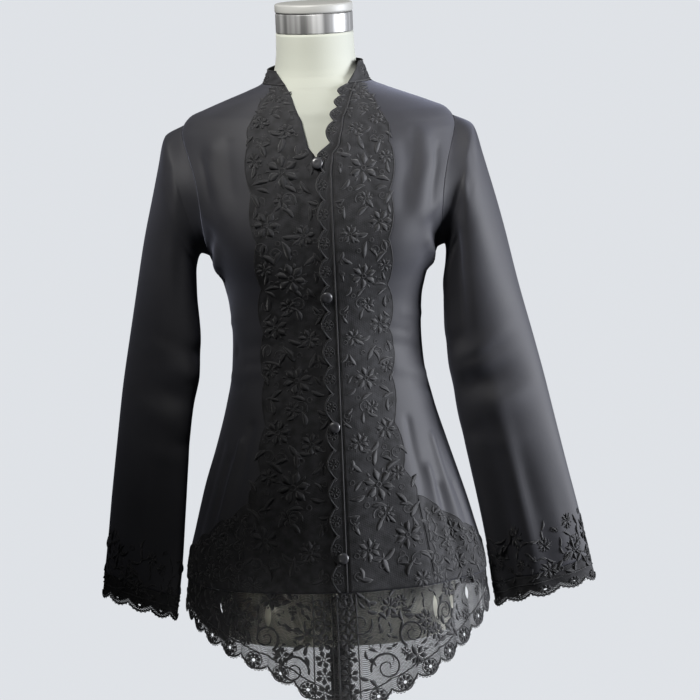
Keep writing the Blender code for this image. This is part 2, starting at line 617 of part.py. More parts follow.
def sleeve(side, name, table, front_edge, front_inside, back_edge, back_inside):
    """Sleeve from its armhole to the cuff lace. Edges are the armhole points of the panels and their neighbours."""
    rim = np.concatenate([front_edge[::-1], back_edge[1:-1]])
    inside = np.concatenate([front_inside[::-1], back_inside[1:-1]])
    rim[0] = (front_edge[-1] + back_edge[-1]) / 2
    inside[0] = (front_inside[-1] + back_inside[-1]) / 2
    count = len(rim)
    rim[count // 2] = (front_edge[0] + back_edge[0]) / 2
    inside[count // 2] = (front_inside[0] + back_inside[0]) / 2
    tangent = np.roll(rim, -1, axis=0) - np.roll(rim, 1, axis=0)
    tangent /= np.linalg.norm(tangent, axis=1, keepdims=True)
    away = rim - inside
    away -= (away * tangent).sum(axis=1, keepdims=True) * tangent
    away /= np.linalg.norm(away, axis=1, keepdims=True)
    around = np.arange(count) * 360.0 / count
    along = np.concatenate([np.linspace(0, 5, SLEEVE_ROWS // 2 + 1)[:-1], np.linspace(5, CUFF_ROW, SLEEVE_ROWS // 2)])
    rings = sleeve_point(table, along[:, None], around[None, :], 0.0)
    start = rim + (SEAM + 0.0002) * away
    outer = np.concatenate([start[None], rings])
    if side > 0:
        outer = outer[:, ::-1]
    outer = outer[::-1]
    normal = grid_normals(outer, True)
    inner = outer - CLOTH * normal
    wall(name, outer, inner, fabric_look, closed=True)
    return outer


def armhole(outer, angles_first):
    """Armhole edge of a panel and the points beside it, underarm to shoulder."""
    rows = slice(ARMHOLE_FIRST, ARMHOLE_LAST + 1)
    if angles_first:
        return outer[rows, 0], outer[rows, 1]
    return outer[rows, -1], outer[rows, -2]


sleeve(1, "sleeve_left", SLEEVE_LEFT, *armhole(left_outer, False), *armhole(back_outer, True))
sleeve(-1, "sleeve_right", SLEEVE_RIGHT, *armhole(right_outer, True), *armhole(back_outer, False))


def cuff(side, name, table, first, last, count):
    """Half of the lace at a sleeve's end, scalloped, with an eyelet in each scallop."""
    shares = scallop_columns(count)
    around = first + (last - first) * shares
    tip = scalloped(shares, count) - 0.5
    end = len(table) - 1
    along = np.stack([end - 0.10 + 0.22 * tip, end - 0.32 + 0.14 * tip, end - 0.50 + 0.10 * tip,
                      np.full_like(shares, CUFF_ROW + 0.012)])
    around = np.repeat(around[None, :], len(along), axis=0)
    if side > 0:
        around, along = around[:, ::-1], along[:, ::-1]
    outer = sleeve_point(table, along, around, 0.0)
    across = sleeve_point(table, along, around - side, 0.0) - sleeve_point(table, along, around + side, 0.0)
    upward = sleeve_point(table, along - 0.1, around, 0.0) - sleeve_point(table, along + 0.1, around, 0.0)
    normal = np.cross(across, upward)
    normal /= np.linalg.norm(normal, axis=-1, keepdims=True)
    holes = [(2, 4 * k + 2, 0.40) for k in range(count)]
    wall(name, outer, outer - LACE * normal, lace_look, holes=holes)


for side, word, table in ((1, "left", SLEEVE_LEFT), (-1, "right", SLEEVE_RIGHT)):
    cuff(side, "cuff_lace_" + word + "_front", table, 0.5, 179.5, 5)
    cuff(side, "cuff_lace_" + word + "_back", table, 180.5, 359.5, 5)

# Buttons: low round domes on the edging
for number, (distance, level) in enumerate(BUTTONS, 1):
    angle = angle_at(distance, level)
    low = float(overlap_lift(angle, level)) + CLOTH + LAY + LACE + 0.0008
    seat = cloth(angle, level, low)
    normal = outward(angle, level)
    profile = ((BUTTON_RADIUS, 0.0), (BUTTON_RADIUS, 0.0018), (BUTTON_RADIUS * 0.65, BUTTON_HEIGHT))
    made = turned("button_%d" % number, profile, button_look, 12)
    tilt = math.acos(float(normal[2]))
    heading = math.atan2(float(normal[1]), float(normal[0]))
    made.rotation_euler = (0.0, tilt, heading)
    made.location = tuple(seat)

# Dress form: a smooth closed torso with a short neck, no limbs
SIDES = 22
form_angles = np.arange(SIDES) * 360.0 / SIDES
form_rings = []
for height, half_width, front, back, square in FORM_LOWER:
    ring = oval(form_angles, half_width, front, back, square, height)
    form_rings.append(ring)
for level in FORM_UPPER_LEVELS:
    ring = skin(form_angles, np.full(SIDES, level))
    ease = FORM_EASE + 0.0024 * (1 - smooth(level, 1.365, 1.395)) + 0.0014 * (1 - smooth(level, 1.20, 1.25))
    form_rings.append(ring - ease * outward(form_angles, np.full(SIDES, level)))
for height, half_width, front, back, square in FORM_NECK:
    form_rings.append(oval(form_angles, half_width, front, back, square, height))
form_points = np.concatenate(form_rings)
form_faces = []
for row in range(len(form_rings) - 1):
    for k in range(SIDES):
        after = (k + 1) % SIDES
        low, high = row * SIDES, (row + 1) * SIDES
        form_faces.append((low + k, low + after, high + after, high + k))
form_faces.append(tuple(reversed(range(SIDES))))
form_faces.append(tuple(range(len(form_points) - SIDES, len(form_points))))
build("form_body", form_points, form_faces, form_look)

# Neck band, cap, pole and round base
turned("form_neck_band", ((BAND_RADIUS - 0.001, BAND_BOTTOM), (BAND_RADIUS, BAND_BOTTOM + 0.001),
                          (BAND_RADIUS, BAND_TOP - 0.001), (BAND_RADIUS - 0.001, BAND_TOP)), chrome_look, 24)
turned("form_cap", ((BAND_RADIUS - 0.001, BAND_TOP + SEAM), (BAND_RADIUS + 0.0005, BAND_TOP + 0.002),
                    (BAND_RADIUS + 0.0005, CAP_TOP - 0.003), (BAND_RADIUS - 0.003, CAP_TOP)), cap_look, 26)
turned("stand_pole", ((POLE_RADIUS, 0.0125), (POLE_RADIUS, 0.7090 - SEAM)), chrome_look, 24)
turned("stand_base", ((BASE_RADIUS - 0.001, 0.0), (BASE_RADIUS, 0.002), (BASE_RADIUS, 0.007),
                      (BASE_RADIUS - 0.004, 0.010), (0.030, 0.0122)), chrome_look, 32)
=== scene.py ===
"""Looks of a black kebaya blouse with a lace front, worn on a limbless dress form on a round stand.

The front looks along -Y, the wearer's left is +X, +Z is up and the stand rests on z = 0. Sizes are metres.
Cloth is described on one skin around the figure: an angle (0 at the centre front, 90 at the wearer's left side,
180 at the centre back) and a level, the height up to the shoulder tip, which then runs along the shoulder.
"""
import math

import bpy
import numpy as np
from mathutils import Matrix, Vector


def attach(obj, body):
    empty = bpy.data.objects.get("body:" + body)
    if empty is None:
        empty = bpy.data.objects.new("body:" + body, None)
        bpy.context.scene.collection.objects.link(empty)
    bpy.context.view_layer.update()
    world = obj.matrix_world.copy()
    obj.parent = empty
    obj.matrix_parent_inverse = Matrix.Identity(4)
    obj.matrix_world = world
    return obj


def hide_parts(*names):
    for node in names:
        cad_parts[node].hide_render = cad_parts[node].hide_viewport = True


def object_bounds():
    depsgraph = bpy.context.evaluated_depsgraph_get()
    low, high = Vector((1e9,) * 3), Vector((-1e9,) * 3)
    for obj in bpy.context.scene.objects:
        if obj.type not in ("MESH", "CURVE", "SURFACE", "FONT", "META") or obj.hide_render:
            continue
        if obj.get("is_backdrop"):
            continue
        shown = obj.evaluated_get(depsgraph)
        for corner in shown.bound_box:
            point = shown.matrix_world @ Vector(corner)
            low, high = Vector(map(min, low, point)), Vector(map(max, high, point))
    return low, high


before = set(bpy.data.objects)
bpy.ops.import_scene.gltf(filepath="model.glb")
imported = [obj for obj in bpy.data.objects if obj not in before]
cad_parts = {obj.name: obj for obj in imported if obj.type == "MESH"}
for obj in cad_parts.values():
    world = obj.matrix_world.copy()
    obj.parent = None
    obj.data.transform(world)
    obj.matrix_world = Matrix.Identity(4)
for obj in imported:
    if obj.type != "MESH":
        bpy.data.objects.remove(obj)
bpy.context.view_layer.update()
scene = bpy.context.scene
scene.view_settings.view_transform = "Standard"

# The view: a long lens five metres away, a little above the waist, leaning by two degrees as the photograph does.
camera_data = bpy.data.cameras.new("camera")
camera_data.sensor_width = 36.0
camera_data.lens = 205.7
camera = bpy.data.objects.new("camera", camera_data)
scene.collection.objects.link(camera)
scene.camera = camera
look_at = np.array([0.028, 0.0, 1.065])
pitch = math.radians(8.7)
camera.location = look_at + 5.0 * np.array([0.0, -math.cos(pitch), math.sin(pitch)])
turned_down = Matrix.Rotation(math.radians(90) - pitch, 3, "X")
camera.rotation_euler = (turned_down @ Matrix.Rotation(math.radians(-2.3), 3, "Z")).to_euler()


# Back of the blouse: one panel of black cotton sateen from the neck seam to the straight hem, shaped at the waist.
# It is cut to the figure, sewn to the fronts down the sides and over the shoulders, and hollowed for the armholes.
CLOTH = 0.0012          # wall of the body fabric
SEAM = 0.0003           # gap between pieces sewn together
HEM_LEVEL = 0.785       # lower edge of the fabric
WAIST_LEVEL = 1.070
UNDERARM_LEVEL = 1.190
SHOULDER_LEVEL = 1.360  # tip of the shoulder
NECK_LEVEL = 1.474      # neck seam
ARMHOLE_ANGLE = 24.0    # half width of the armhole
# columns: level, height, half width, front, back, square
FIGURE = np.array([
    (0.600, 0.600, 0.2030, 0.1580, 0.1560, 2.0),
    (0.700, 0.700, 0.1960, 0.1500, 0.1490, 2.0),
    (0.750, 0.750, 0.1900, 0.1440, 0.1440, 2.0),
    (0.800, 0.800, 0.1850, 0.1370, 0.1380, 2.0),
    (0.850, 0.850, 0.1730, 0.1280, 0.1310, 2.0),
    (0.900, 0.900, 0.1590, 0.1180, 0.1220, 2.0),
    (0.950, 0.950, 0.1430, 0.1080, 0.1090, 2.0),
    (1.000, 1.000, 0.1285, 0.0990, 0.0940, 2.0),
    (1.050, 1.050, 0.1185, 0.0930, 0.0830, 2.0),
    (1.090, 1.090, 0.1165, 0.0930, 0.0810, 2.05),
    (1.130, 1.130, 0.1190, 0.0980, 0.0870, 2.1),
    (1.160, 1.160, 0.1265, 0.1060, 0.0950, 2.15),
    (1.190, 1.190, 0.1400, 0.1130, 0.1010, 2.2),
    (1.217, 1.217, 0.1490, 0.1160, 0.1040, 2.25),
    (1.250, 1.250, 0.1575, 0.1140, 0.1050, 2.35),
    (1.285, 1.285, 0.1635, 0.1080, 0.1040, 2.3),
    (1.320, 1.320, 0.1680, 0.1000, 0.0980, 2.1),
    (1.345, 1.343, 0.1700, 0.0930, 0.0910, 1.9),
    (1.360, 1.357, 0.1700, 0.0875, 0.0855, 1.75),
    (1.390, 1.370, 0.1440, 0.0800, 0.0785, 1.75),
    (1.420, 1.382, 0.1140, 0.0725, 0.0715, 1.85),
    (1.450, 1.393, 0.0850, 0.0650, 0.0650, 2.0),
    (1.474, 1.402, 0.0665, 0.0600, 0.0600, 2.0),
    (1.490, 1.418, 0.0595, 0.0560, 0.0570, 2.0),
    (1.502, 1.431, 0.0560, 0.0540, 0.0560, 2.0),
    (1.515, 1.444, 0.0540, 0.0530, 0.0550, 2.0),
])
BUST_ANGLE = 41.0
BUST_SPREAD = 20.0
BUST_HEIGHT = 1.218
BUST_RISE = 0.046
BUST_DEPTH = 0.010
# columns: angle, half width, depth, start
FLUTES = np.array([
    (-60.0, 10.0, 0.0028, 0.98),
    (-40.0, 9.0, 0.0045, 1.02),
    (-24.0, 7.0, -0.0040, 0.96),
    (35.0, 9.0, 0.0045, 1.02),
    (53.0, 9.0, -0.0036, 1.00),
    (71.0, 10.0, 0.0030, 0.98),
    (112.0, 9.0, 0.0055, 0.98),
    (134.0, 9.0, -0.0050, 0.96),
    (156.0, 10.0, 0.0060, 1.00),
    (180.0, 9.0, -0.0045, 0.95),
    (204.0, 10.0, 0.0060, 1.00),
    (227.0, 9.0, -0.0045, 0.97),
    (248.0, 9.0, 0.0050, 0.98),
])
# columns: angle a, level a, angle b, level b, half width, depth
CREASES = np.array([
    # the largest, from the shoulder, the underarm and the waist
    (50.0, 1.335, 46.0, 1.250, 0.013, 0.0045),
    (39.0, 1.325, 35.0, 1.255, 0.010, -0.0030),
    (-50.0, 1.330, -46.0, 1.255, 0.013, 0.0035),
    (80.0, 1.196, 58.0, 1.232, 0.009, -0.0038),
    (-80.0, 1.192, -62.0, 1.222, 0.009, -0.0038),
    (74.0, 1.178, 60.0, 1.208, 0.009, 0.0050),
    (-74.0, 1.176, -62.0, 1.202, 0.009, 0.0045),
    (70.0, 1.070, 30.0, 1.085, 0.009, -0.0022),
    (-70.0, 1.075, -30.0, 1.090, 0.009, -0.0022),
    (80.0, 1.035, 45.0, 1.050, 0.009, 0.0022),
    (-80.0, 1.040, -45.0, 1.052, 0.009, 0.0022),
    (110.0, 1.060, 150.0, 1.075, 0.010, -0.0025),
    (250.0, 1.060, 210.0, 1.075, 0.010, -0.0025),
    (135.0, 1.300, 150.0, 1.190, 0.014, 0.0030),
    (225.0, 1.300, 210.0, 1.190, 0.014, 0.0030),
])
FINE_CREASES = np.array([
    # finer ones: upper chest, underarm, waist, skirt, then the back
    (58.0, 1.318, 55.0, 1.262, 0.006, -0.0016),
    (44.5, 1.345, 41.0, 1.280, 0.005, -0.0012),
    (63.0, 1.255, 50.0, 1.238, 0.006, 0.0014),
    (-57.0, 1.312, -54.0, 1.268, 0.006, -0.0014),
    (-41.0, 1.338, -38.0, 1.276, 0.006, -0.0012),
    (-64.0, 1.250, -52.0, 1.236, 0.006, 0.0012),
    (86.0, 1.172, 66.0, 1.196, 0.006, 0.0020),
    (88.0, 1.158, 70.0, 1.170, 0.005, -0.0016),
    (-86.0, 1.170, -68.0, 1.192, 0.006, 0.0018),
    (-88.0, 1.155, -72.0, 1.166, 0.005, -0.0014),
    (84.0, 1.110, 52.0, 1.118, 0.006, 0.0012),
    (-84.0, 1.106, -56.0, 1.120, 0.006, 0.0012),
    (60.0, 1.092, 38.0, 1.104, 0.004, -0.0010),
    (-58.0, 1.060, -34.0, 1.064, 0.004, -0.0010),
    (86.0, 1.012, 60.0, 1.028, 0.006, -0.0014),
    (-86.0, 1.016, -62.0, 1.030, 0.006, -0.0014),
    (46.0, 0.985, 43.0, 0.870, 0.006, -0.0030),
    (51.0, 0.925, 50.0, 0.800, 0.005, 0.0034),
    (56.0, 0.900, 56.0, 0.800, 0.005, -0.0030),
    (62.0, 0.960, 62.0, 0.820, 0.005, 0.0032),
    (69.0, 0.900, 70.0, 0.800, 0.004, -0.0022),
    (80.0, 0.965, 82.0, 0.820, 0.008, -0.0018),
    (-47.0, 0.985, -47.0, 0.850, 0.006, -0.0026),
    (-53.0, 0.965, -56.0, 0.870, 0.004, 0.0034),
    (-60.0, 0.940, -61.0, 0.820, 0.005, -0.0026),
    (-71.0, 0.955, -73.0, 0.835, 0.007, -0.0016),
    (-82.0, 0.930, -84.0, 0.805, 0.007, 0.0014),
    (152.0, 1.240, 168.0, 1.170, 0.008, -0.0016),
    (208.0, 1.238, 192.0, 1.172, 0.008, -0.0016),
    (118.0, 1.160, 138.0, 1.128, 0.007, 0.0016),
    (242.0, 1.158, 222.0, 1.126, 0.007, 0.0016),
    (124.0, 1.085, 158.0, 1.096, 0.006, 0.0014),
    (236.0, 1.088, 202.0, 1.094, 0.006, 0.0014),
    (145.0, 1.040, 176.0, 1.050, 0.006, -0.0016),
    (214.0, 1.034, 186.0, 1.046, 0.006, -0.0014),
    (166.0, 1.018, 200.0, 1.024, 0.006, 0.0012),
    (145.0, 1.350, 160.0, 1.290, 0.009, -0.0014),
    (215.0, 1.350, 200.0, 1.290, 0.009, -0.0014),
])
CREASE_RADIUS = 0.120
SHOULDER_ROUND = 0.022  # half the band of levels over which the shoulder's edge is rounded
SHOULDER_SPREAD = 0.034 # how far from the shoulder's tip the rounding fades
ARMHOLE_BRIDGE = 0.0160 # how far the cloth stands forward beside the armhole, where it runs on into the sleeve
BRIDGE_ANGLE = 30.0     # degrees over which it comes back to the figure


def curve(table, column, at):
    """Smooth value of one column of a table, its first column being the place: a monotone cubic through the rows."""
    knots, values = table[:, 0], table[:, column]
    step = np.diff(knots)
    slope = np.diff(values) / step
    tangent = np.zeros(len(knots))
    same = slope[:-1] * slope[1:] > 0
    total = np.where(same, slope[:-1] + slope[1:], 1.0)
    tangent[1:-1] = np.where(same, 2 * slope[:-1] * slope[1:] / total, 0.0)
    tangent[0], tangent[-1] = slope[0], slope[-1]
    at = np.asarray(at, float)
    i = np.clip(np.searchsorted(knots, at, side="right") - 1, 0, len(knots) - 2)
    s = (at - knots[i]) / step[i]
    rise = (2 * s**3 - 3 * s**2 + 1) * values[i] + (3 * s**2 - 2 * s**3) * values[i + 1]
    return rise + step[i] * ((s**3 - 2 * s**2 + s) * tangent[i] + (s**3 - s**2) * tangent[i + 1])


def eased(value, low, high):
    """0 below low, 1 above high, eased between by 3s^2 - 2s^3."""
    s = np.clip((value - low) / (high - low), 0.0, 1.0)
    return s * s * (3 - 2 * s)


def wrapped(angle):
    """Angle brought between -180 and 180."""
    return (angle + 180.0) % 360.0 - 180.0


def oval(angle, half_width, front, back, square, height):
    """Point of a squared oval: x = w sin(a)^(2/n), y = -d cos(a)^(2/n), with a depth d each for front and back."""
    turn = np.radians(angle)
    side, ahead = np.sin(turn), np.cos(turn)
    x = half_width * np.sign(side) * np.abs(side) ** (2 / square)
    y = -np.sign(ahead) * np.where(ahead > 0, front, back) * np.abs(ahead) ** (2 / square)
    return np.stack(np.broadcast_arrays(x, y, height), axis=-1)


def figure(angle, level):
    """The figure's surface: the oval of the level's section, moved forward by a bell at each side of the bust."""
    height, half_width, front, back, square = (curve(FIGURE, k, level) for k in range(1, 6))
    point = oval(angle, half_width, front, back, square, height)
    for side in (-1, 1):
        around = (wrapped(angle) - side * BUST_ANGLE) / BUST_SPREAD
        up = (height - BUST_HEIGHT) / BUST_RISE
        point[..., 1] -= BUST_DEPTH * np.exp(-around**2 - up**2)
    return point


def skin(angle, level):
    """Skin under the cloth: the figure, its edge along the shoulder rounded by a mean of three levels."""
    reach = SHOULDER_ROUND * np.exp(-(((level - SHOULDER_LEVEL) / SHOULDER_SPREAD) ** 2))
    return (figure(angle, level - reach) + 2 * figure(angle, level) + figure(angle, level + reach)) / 4


def outward(angle, level):
    """Unit normal of the skin, from small steps of angle and level."""
    across = skin(angle + 0.6, level) - skin(angle - 0.6, level)
    along = skin(angle, level + 0.002) - skin(angle, level - 0.002)
    normal = np.cross(across, along)
    return normal / np.linalg.norm(normal, axis=-1, keepdims=True)


def folds(angle, level):
    """Height of flutes and creases over the skin: bells across each run, and a ripple of three sines under 0.4 mm."""
    raised = np.zeros(np.broadcast(angle, level).shape)
    for place, half_width, depth, start in FLUTES:
        around = wrapped(angle - place) / half_width
        raised = raised + depth * eased(-level, -start, -HEM_LEVEL) * np.exp(-around**2)
    for angle_a, level_a, angle_b, level_b, half_width, depth in np.concatenate([CREASES, FINE_CREASES]):
        run = np.array([math.radians(angle_b - angle_a) * CREASE_RADIUS, level_b - level_a])
        x = np.radians(wrapped(angle - angle_a)) * CREASE_RADIUS
        y = level - level_a
        s = np.clip((x * run[0] + y * run[1]) / (run @ run), 0, 1)
        bend = 0.12 * half_width * np.sin(9 * s + 40 * angle_a)
        away = ((x - s * run[0] + bend) ** 2 + (y - s * run[1]) ** 2) / half_width**2
        raised = raised + depth * (1 - 0.35 * s) * np.exp(-away)
    turn = np.radians(angle)
    ripple = np.sin(5 * turn + 31 * level) + np.sin(9 * turn - 47 * level + 1.3) + 0.6 * np.sin(3 * turn + 83 * level)
    return raised + 0.00014 * ripple * (1 - eased(level, 1.40, 1.44))


def bridge(angle, level):
    """Cloth held off the figure beside the armhole, sin(pi s) (1 - u)^2: forward in front, back behind."""
    share = np.clip((level - UNDERARM_LEVEL) / (SHOULDER_LEVEL - UNDERARM_LEVEL), 0, 1)
    ahead = 90 - np.abs(wrapped(angle))
    u = np.clip((np.abs(ahead) - ARMHOLE_ANGLE * np.sin(math.pi * share) ** 0.75) / BRIDGE_ANGLE, 0, 1)
    return np.sign(ahead) * ARMHOLE_BRIDGE * np.sin(math.pi * share) * (1 - u) ** 2


def cloth(angle, level, out):
    """Point on the worn cloth, out metres over its inner face: skin + (folds + out) * normal, moved by the bridge."""
    angle, level = np.broadcast_arrays(np.asarray(angle, float), np.asarray(level, float))
    point = skin(angle, level) + (folds(angle, level) + out)[..., None] * outward(angle, level)
    point[..., 1] -= bridge(angle, level)
    return point


def side_cut(level):
    """How far short of the side line a panel ends: the seam gap, and the armhole between underarm and shoulder."""
    share = np.clip((level - UNDERARM_LEVEL) / (SHOULDER_LEVEL - UNDERARM_LEVEL), 0, 1)
    return np.degrees(SEAM / 2 / curve(FIGURE, 2, level)) + ARMHOLE_ANGLE * np.sin(math.pi * share) ** 0.75


def spread(first, last, columns):
    """Grid of angles, one row for each pair of ends."""
    return first[:, None] + (last - first)[:, None] * np.linspace(0, 1, columns)[None, :]


def lengths(points, axis):
    """Running length along a grid of points, used as flat cloth coordinates."""
    step = np.linalg.norm(np.diff(points, axis=axis), axis=-1)
    start = np.zeros_like(np.take(step, [0], axis=axis))
    return np.concatenate([start, np.cumsum(step, axis=axis)], axis=axis)


def shell(name, outer, inner, look, closed=False):
    """Closed thin wall between two grids of points, mapped in cloth metres: u across the rows, v up the columns."""
    rows, columns = outer.shape[:2]
    total = rows * columns
    wide = np.concatenate([outer, outer[:, :1]], axis=1) if closed else outer
    flat_u = lengths(wide, 1) - lengths(wide, 1).max(axis=1, keepdims=True) / 2
    flat = np.stack([flat_u, lengths(wide, 0)], axis=-1)
    row, column = np.meshgrid(np.arange(rows - 1), np.arange(columns - (not closed)), indexing="ij")
    corner_row = np.stack([row, row, row + 1, row + 1], axis=-1).reshape(-1, 4)
    corner_column = np.stack([column, column + 1, column + 1, column], axis=-1).reshape(-1, 4)
    faces = [corner_row * columns + corner_column % columns]
    faces.append(faces[0][:, ::-1] + total)
    maps = [flat[corner_row, corner_column], flat[corner_row, corner_column][:, ::-1]]
    along = np.arange(columns - (not closed))
    edges = [(0, 0, along, along + 1, True), (rows - 1, rows - 1, along, along + 1, False)]
    if not closed:
        up = np.arange(rows - 1)
        edges += [(up, up + 1, 0, 0, False), (up, up + 1, columns - 1, columns - 1, True)]
    for row_a, row_b, column_a, column_b, turn in edges:
        row_a, row_b, column_a, column_b = np.broadcast_arrays(row_a, row_b, column_a, column_b)
        a, b = row_a * columns + column_a % columns, row_b * columns + column_b % columns
        rim = np.stack([a, a + total, b + total, b], axis=-1)
        place = np.stack([flat[row_a, column_a]] * 2 + [flat[row_b, column_b]] * 2, axis=1)
        faces.append(rim if turn else rim[:, ::-1])
        maps.append(place if turn else place[:, ::-1])
    points = np.concatenate([outer.reshape(-1, 3), inner.reshape(-1, 3)])
    return surface(name, points, np.concatenate(faces), np.concatenate(maps), look)


def surface(name, points, faces, flat, look):
    """Smooth mesh of quads or triangles from arrays of points, faces and the cloth place of each face's corners."""
    mesh = bpy.data.meshes.new(name)
    mesh.vertices.add(len(points))
    mesh.vertices.foreach_set("co", np.ascontiguousarray(points, np.float32).ravel())
    size = faces.shape[1]
    mesh.loops.add(faces.size)
    mesh.loops.foreach_set("vertex_index", np.ascontiguousarray(faces, np.int32).ravel())
    mesh.polygons.add(len(faces))
    mesh.polygons.foreach_set("loop_start", np.arange(len(faces), dtype=np.int32) * size)
    mesh.polygons.foreach_set("use_smooth", np.ones(len(faces), bool))
    mesh.update(calc_edges=True)
    if flat is not None:
        layer = mesh.uv_layers.new(name="cloth")
        layer.uv.foreach_set("vector", np.ascontiguousarray(flat, np.float32).ravel())
    mesh.materials.append(look)
    mesh.validate()
    made = bpy.data.objects.new(name, mesh)
    scene.collection.objects.link(made)
    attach(made, "root")
    return made


def node_group(name, inputs, outputs):
    """Empty shader node group with named inputs (name, type, value) and outputs (name, type)."""
    group = bpy.data.node_groups.new(name, "ShaderNodeTree")
    for word, kind, value in inputs:
        socket = group.interface.new_socket(word, in_out="INPUT", socket_type=kind)
        if value is not None:
            socket.default_value = value
    for word, kind in outputs:
        group.interface.new_socket(word, in_out="OUTPUT", socket_type=kind)
    return group, group.nodes.new("NodeGroupInput"), group.nodes.new("NodeGroupOutput")


def node(tree, kind, inputs=(), **settings):
    """Adds a node, sets its fields, and joins or sets its inputs, given as (input, value or output socket)."""
    made = tree.nodes.new(kind)
    for word, value in settings.items():
        setattr(made, word, value)
    for word, value in inputs:
        if isinstance(value, bpy.types.NodeSocket):
            tree.links.new(value, made.inputs[word])
        else:
            made.inputs[word].default_value = value
    return made


def maths(tree, operation, first, second=0.0, third=0.0):
    """Output of one Math node."""
    made = node(tree, "ShaderNodeMath", [(0, first), (1, second), (2, third)], operation=operation)
    return made.outputs[0]


def sateen_weave():
    """Group: height of a close weave, sin of warp and weft threads, and a soft blotch for how worn the cloth is."""
    group, start, end = node_group(
        "sateen_weave", [("Flat", "NodeSocketVector", None), ("Threads", "NodeSocketFloat", 9000.0)],
        [("Height", "NodeSocketFloat"), ("Wear", "NodeSocketFloat")])
    split = node(group, "ShaderNodeSeparateXYZ", [(0, start.outputs["Flat"])])
    warp = maths(group, "SINE", maths(group, "MULTIPLY", split.outputs[0], start.outputs["Threads"]))
    across = maths(group, "MULTIPLY", split.outputs[1], start.outputs["Threads"])
    weft = maths(group, "SINE", maths(group, "MULTIPLY", across, 0.8))
    height = maths(group, "ADD", maths(group, "MULTIPLY", warp, 0.35), maths(group, "MULTIPLY", weft, 0.15))
    blotch = node(group, "ShaderNodeTexNoise", [("Vector", start.outputs["Flat"]), ("Scale", 14.0), ("Detail", 4.0)])
    nap = node(group, "ShaderNodeTexNoise", [("Vector", start.outputs["Flat"]), ("Scale", 420.0), ("Detail", 3.0)])
    total = maths(group, "ADD", height, nap.outputs["Fac"])
    group.links.new(total, end.inputs["Height"])
    group.links.new(blotch.outputs["Fac"], end.inputs["Wear"])
    return group


def black_sateen():
    """Black cotton sateen: near black, a soft bluish sheen, a fine weave in its bump."""
    made = bpy.data.materials.new("black_sateen")
    made.use_nodes = True
    tree = made.node_tree
    shader = tree.nodes["Principled BSDF"]
    flat = node(tree, "ShaderNodeUVMap", uv_map="cloth")
    weave = node(tree, "ShaderNodeGroup", node_tree=weave_group)
    tree.links.new(flat.outputs[0], weave.inputs["Flat"])
    tone = node(tree, "ShaderNodeValToRGB", [(0, weave.outputs["Wear"])])
    tone.color_ramp.elements[0].position = 0.30
    tone.color_ramp.elements[0].color = (0.0190, 0.0190, 0.0225, 1)
    tone.color_ramp.elements[1].position = 0.72
    tone.color_ramp.elements[1].color = (0.0270, 0.0270, 0.0320, 1)
    gloss = maths(tree, "MULTIPLY_ADD", weave.outputs["Wear"], 0.12, 0.60)
    bump = node(tree, "ShaderNodeBump",
                [("Height", weave.outputs["Height"]), ("Strength", 0.35), ("Distance", 0.0001)])
    tree.links.new(tone.outputs[0], shader.inputs["Base Color"])
    tree.links.new(gloss, shader.inputs["Roughness"])
    tree.links.new(bump.outputs[0], shader.inputs["Normal"])
    shader.inputs["Specular IOR Level"].default_value = 0.30
    shader.inputs["Sheen Weight"].default_value = 0.16
    shader.inputs["Sheen Roughness"].default_value = 0.45
    shader.inputs["Sheen Tint"].default_value = (0.72, 0.76, 1.0, 1.0)
    return made


weave_group = sateen_weave()
sateen = black_sateen()
armhole_steps = (1 - np.cos(np.linspace(0, math.pi, 43))) / 2
panel_levels = np.concatenate([
    np.linspace(HEM_LEVEL, WAIST_LEVEL, 72)[:-1],
    np.linspace(WAIST_LEVEL, UNDERARM_LEVEL, 31)[:-1],
    UNDERARM_LEVEL + (SHOULDER_LEVEL - UNDERARM_LEVEL) * armhole_steps,
    np.linspace(SHOULDER_LEVEL, NECK_LEVEL - SEAM / 2, 26)[1:],
])
ARMHOLE_FIRST = 71 + 30     # row of the underarm, and of the shoulder's tip after it
ARMHOLE_LAST = ARMHOLE_FIRST + 42
BACK_COLUMNS = 110
FRONT_COLUMNS = 64
cut = side_cut(panel_levels)
back_angles = spread(90 + cut, 270 - cut, BACK_COLUMNS)
back_levels = np.repeat(panel_levels[:, None], BACK_COLUMNS, axis=1)
back_outer = cloth(back_angles, back_levels, CLOTH)
back = shell("back_panel", back_outer, cloth(back_angles, back_levels, 0.0), sateen)
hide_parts("back")


# Fronts of the blouse: two panels of the same sateen, the wearer's left one lapping over the right one.
# Each is cut to the neck edge in a narrow V and sewn to the back down the side and over the shoulder.
OVERLAP_LIFT = 0.0019   # how far the left front stands over the right front
UNDERLAP = 0.014        # how far the right front runs on past the middle
OVERLAP_EDGE = 0.003    # where the left front's fabric ends
# columns: level, distance
NECK_EDGE = np.array([
    (1.322, 0.0060),
    (1.334, 0.0140),
    (1.360, 0.0180),
    (1.408, 0.0268),
    (1.440, 0.0310),
    (1.474, 0.0370),
    (1.490, 0.0480),
    (1.502, 0.0535),
])


def angle_at(distance, level):
    """Angle on the front at which the skin is this far from the middle: asin((d / w)^(n / 2))."""
    half_width, square = curve(FIGURE, 2, level), curve(FIGURE, 5, level)
    share = np.clip(np.abs(distance) / half_width, 0, 1) ** (square / 2)
    return np.sign(distance) * np.degrees(np.arcsin(share))


def overlap_lift(angle, level):
    """How far the left front stands out to lie over the right front."""
    distance = skin(angle, level)[..., 0]
    return OVERLAP_LIFT * (1 - eased(distance, 0.022, 0.070)) * (1 - eased(level, 1.325, 1.365))


def edge_distance(level, below):
    """Distance of a front's edge from the middle: the neck edge at the top, and the value below under it."""
    first, low = NECK_EDGE[0]
    neck = curve(NECK_EDGE, 1, np.maximum(level, first))
    return np.where(level < first, below + (low - below) * eased(level, first - 0.026, first), neck)


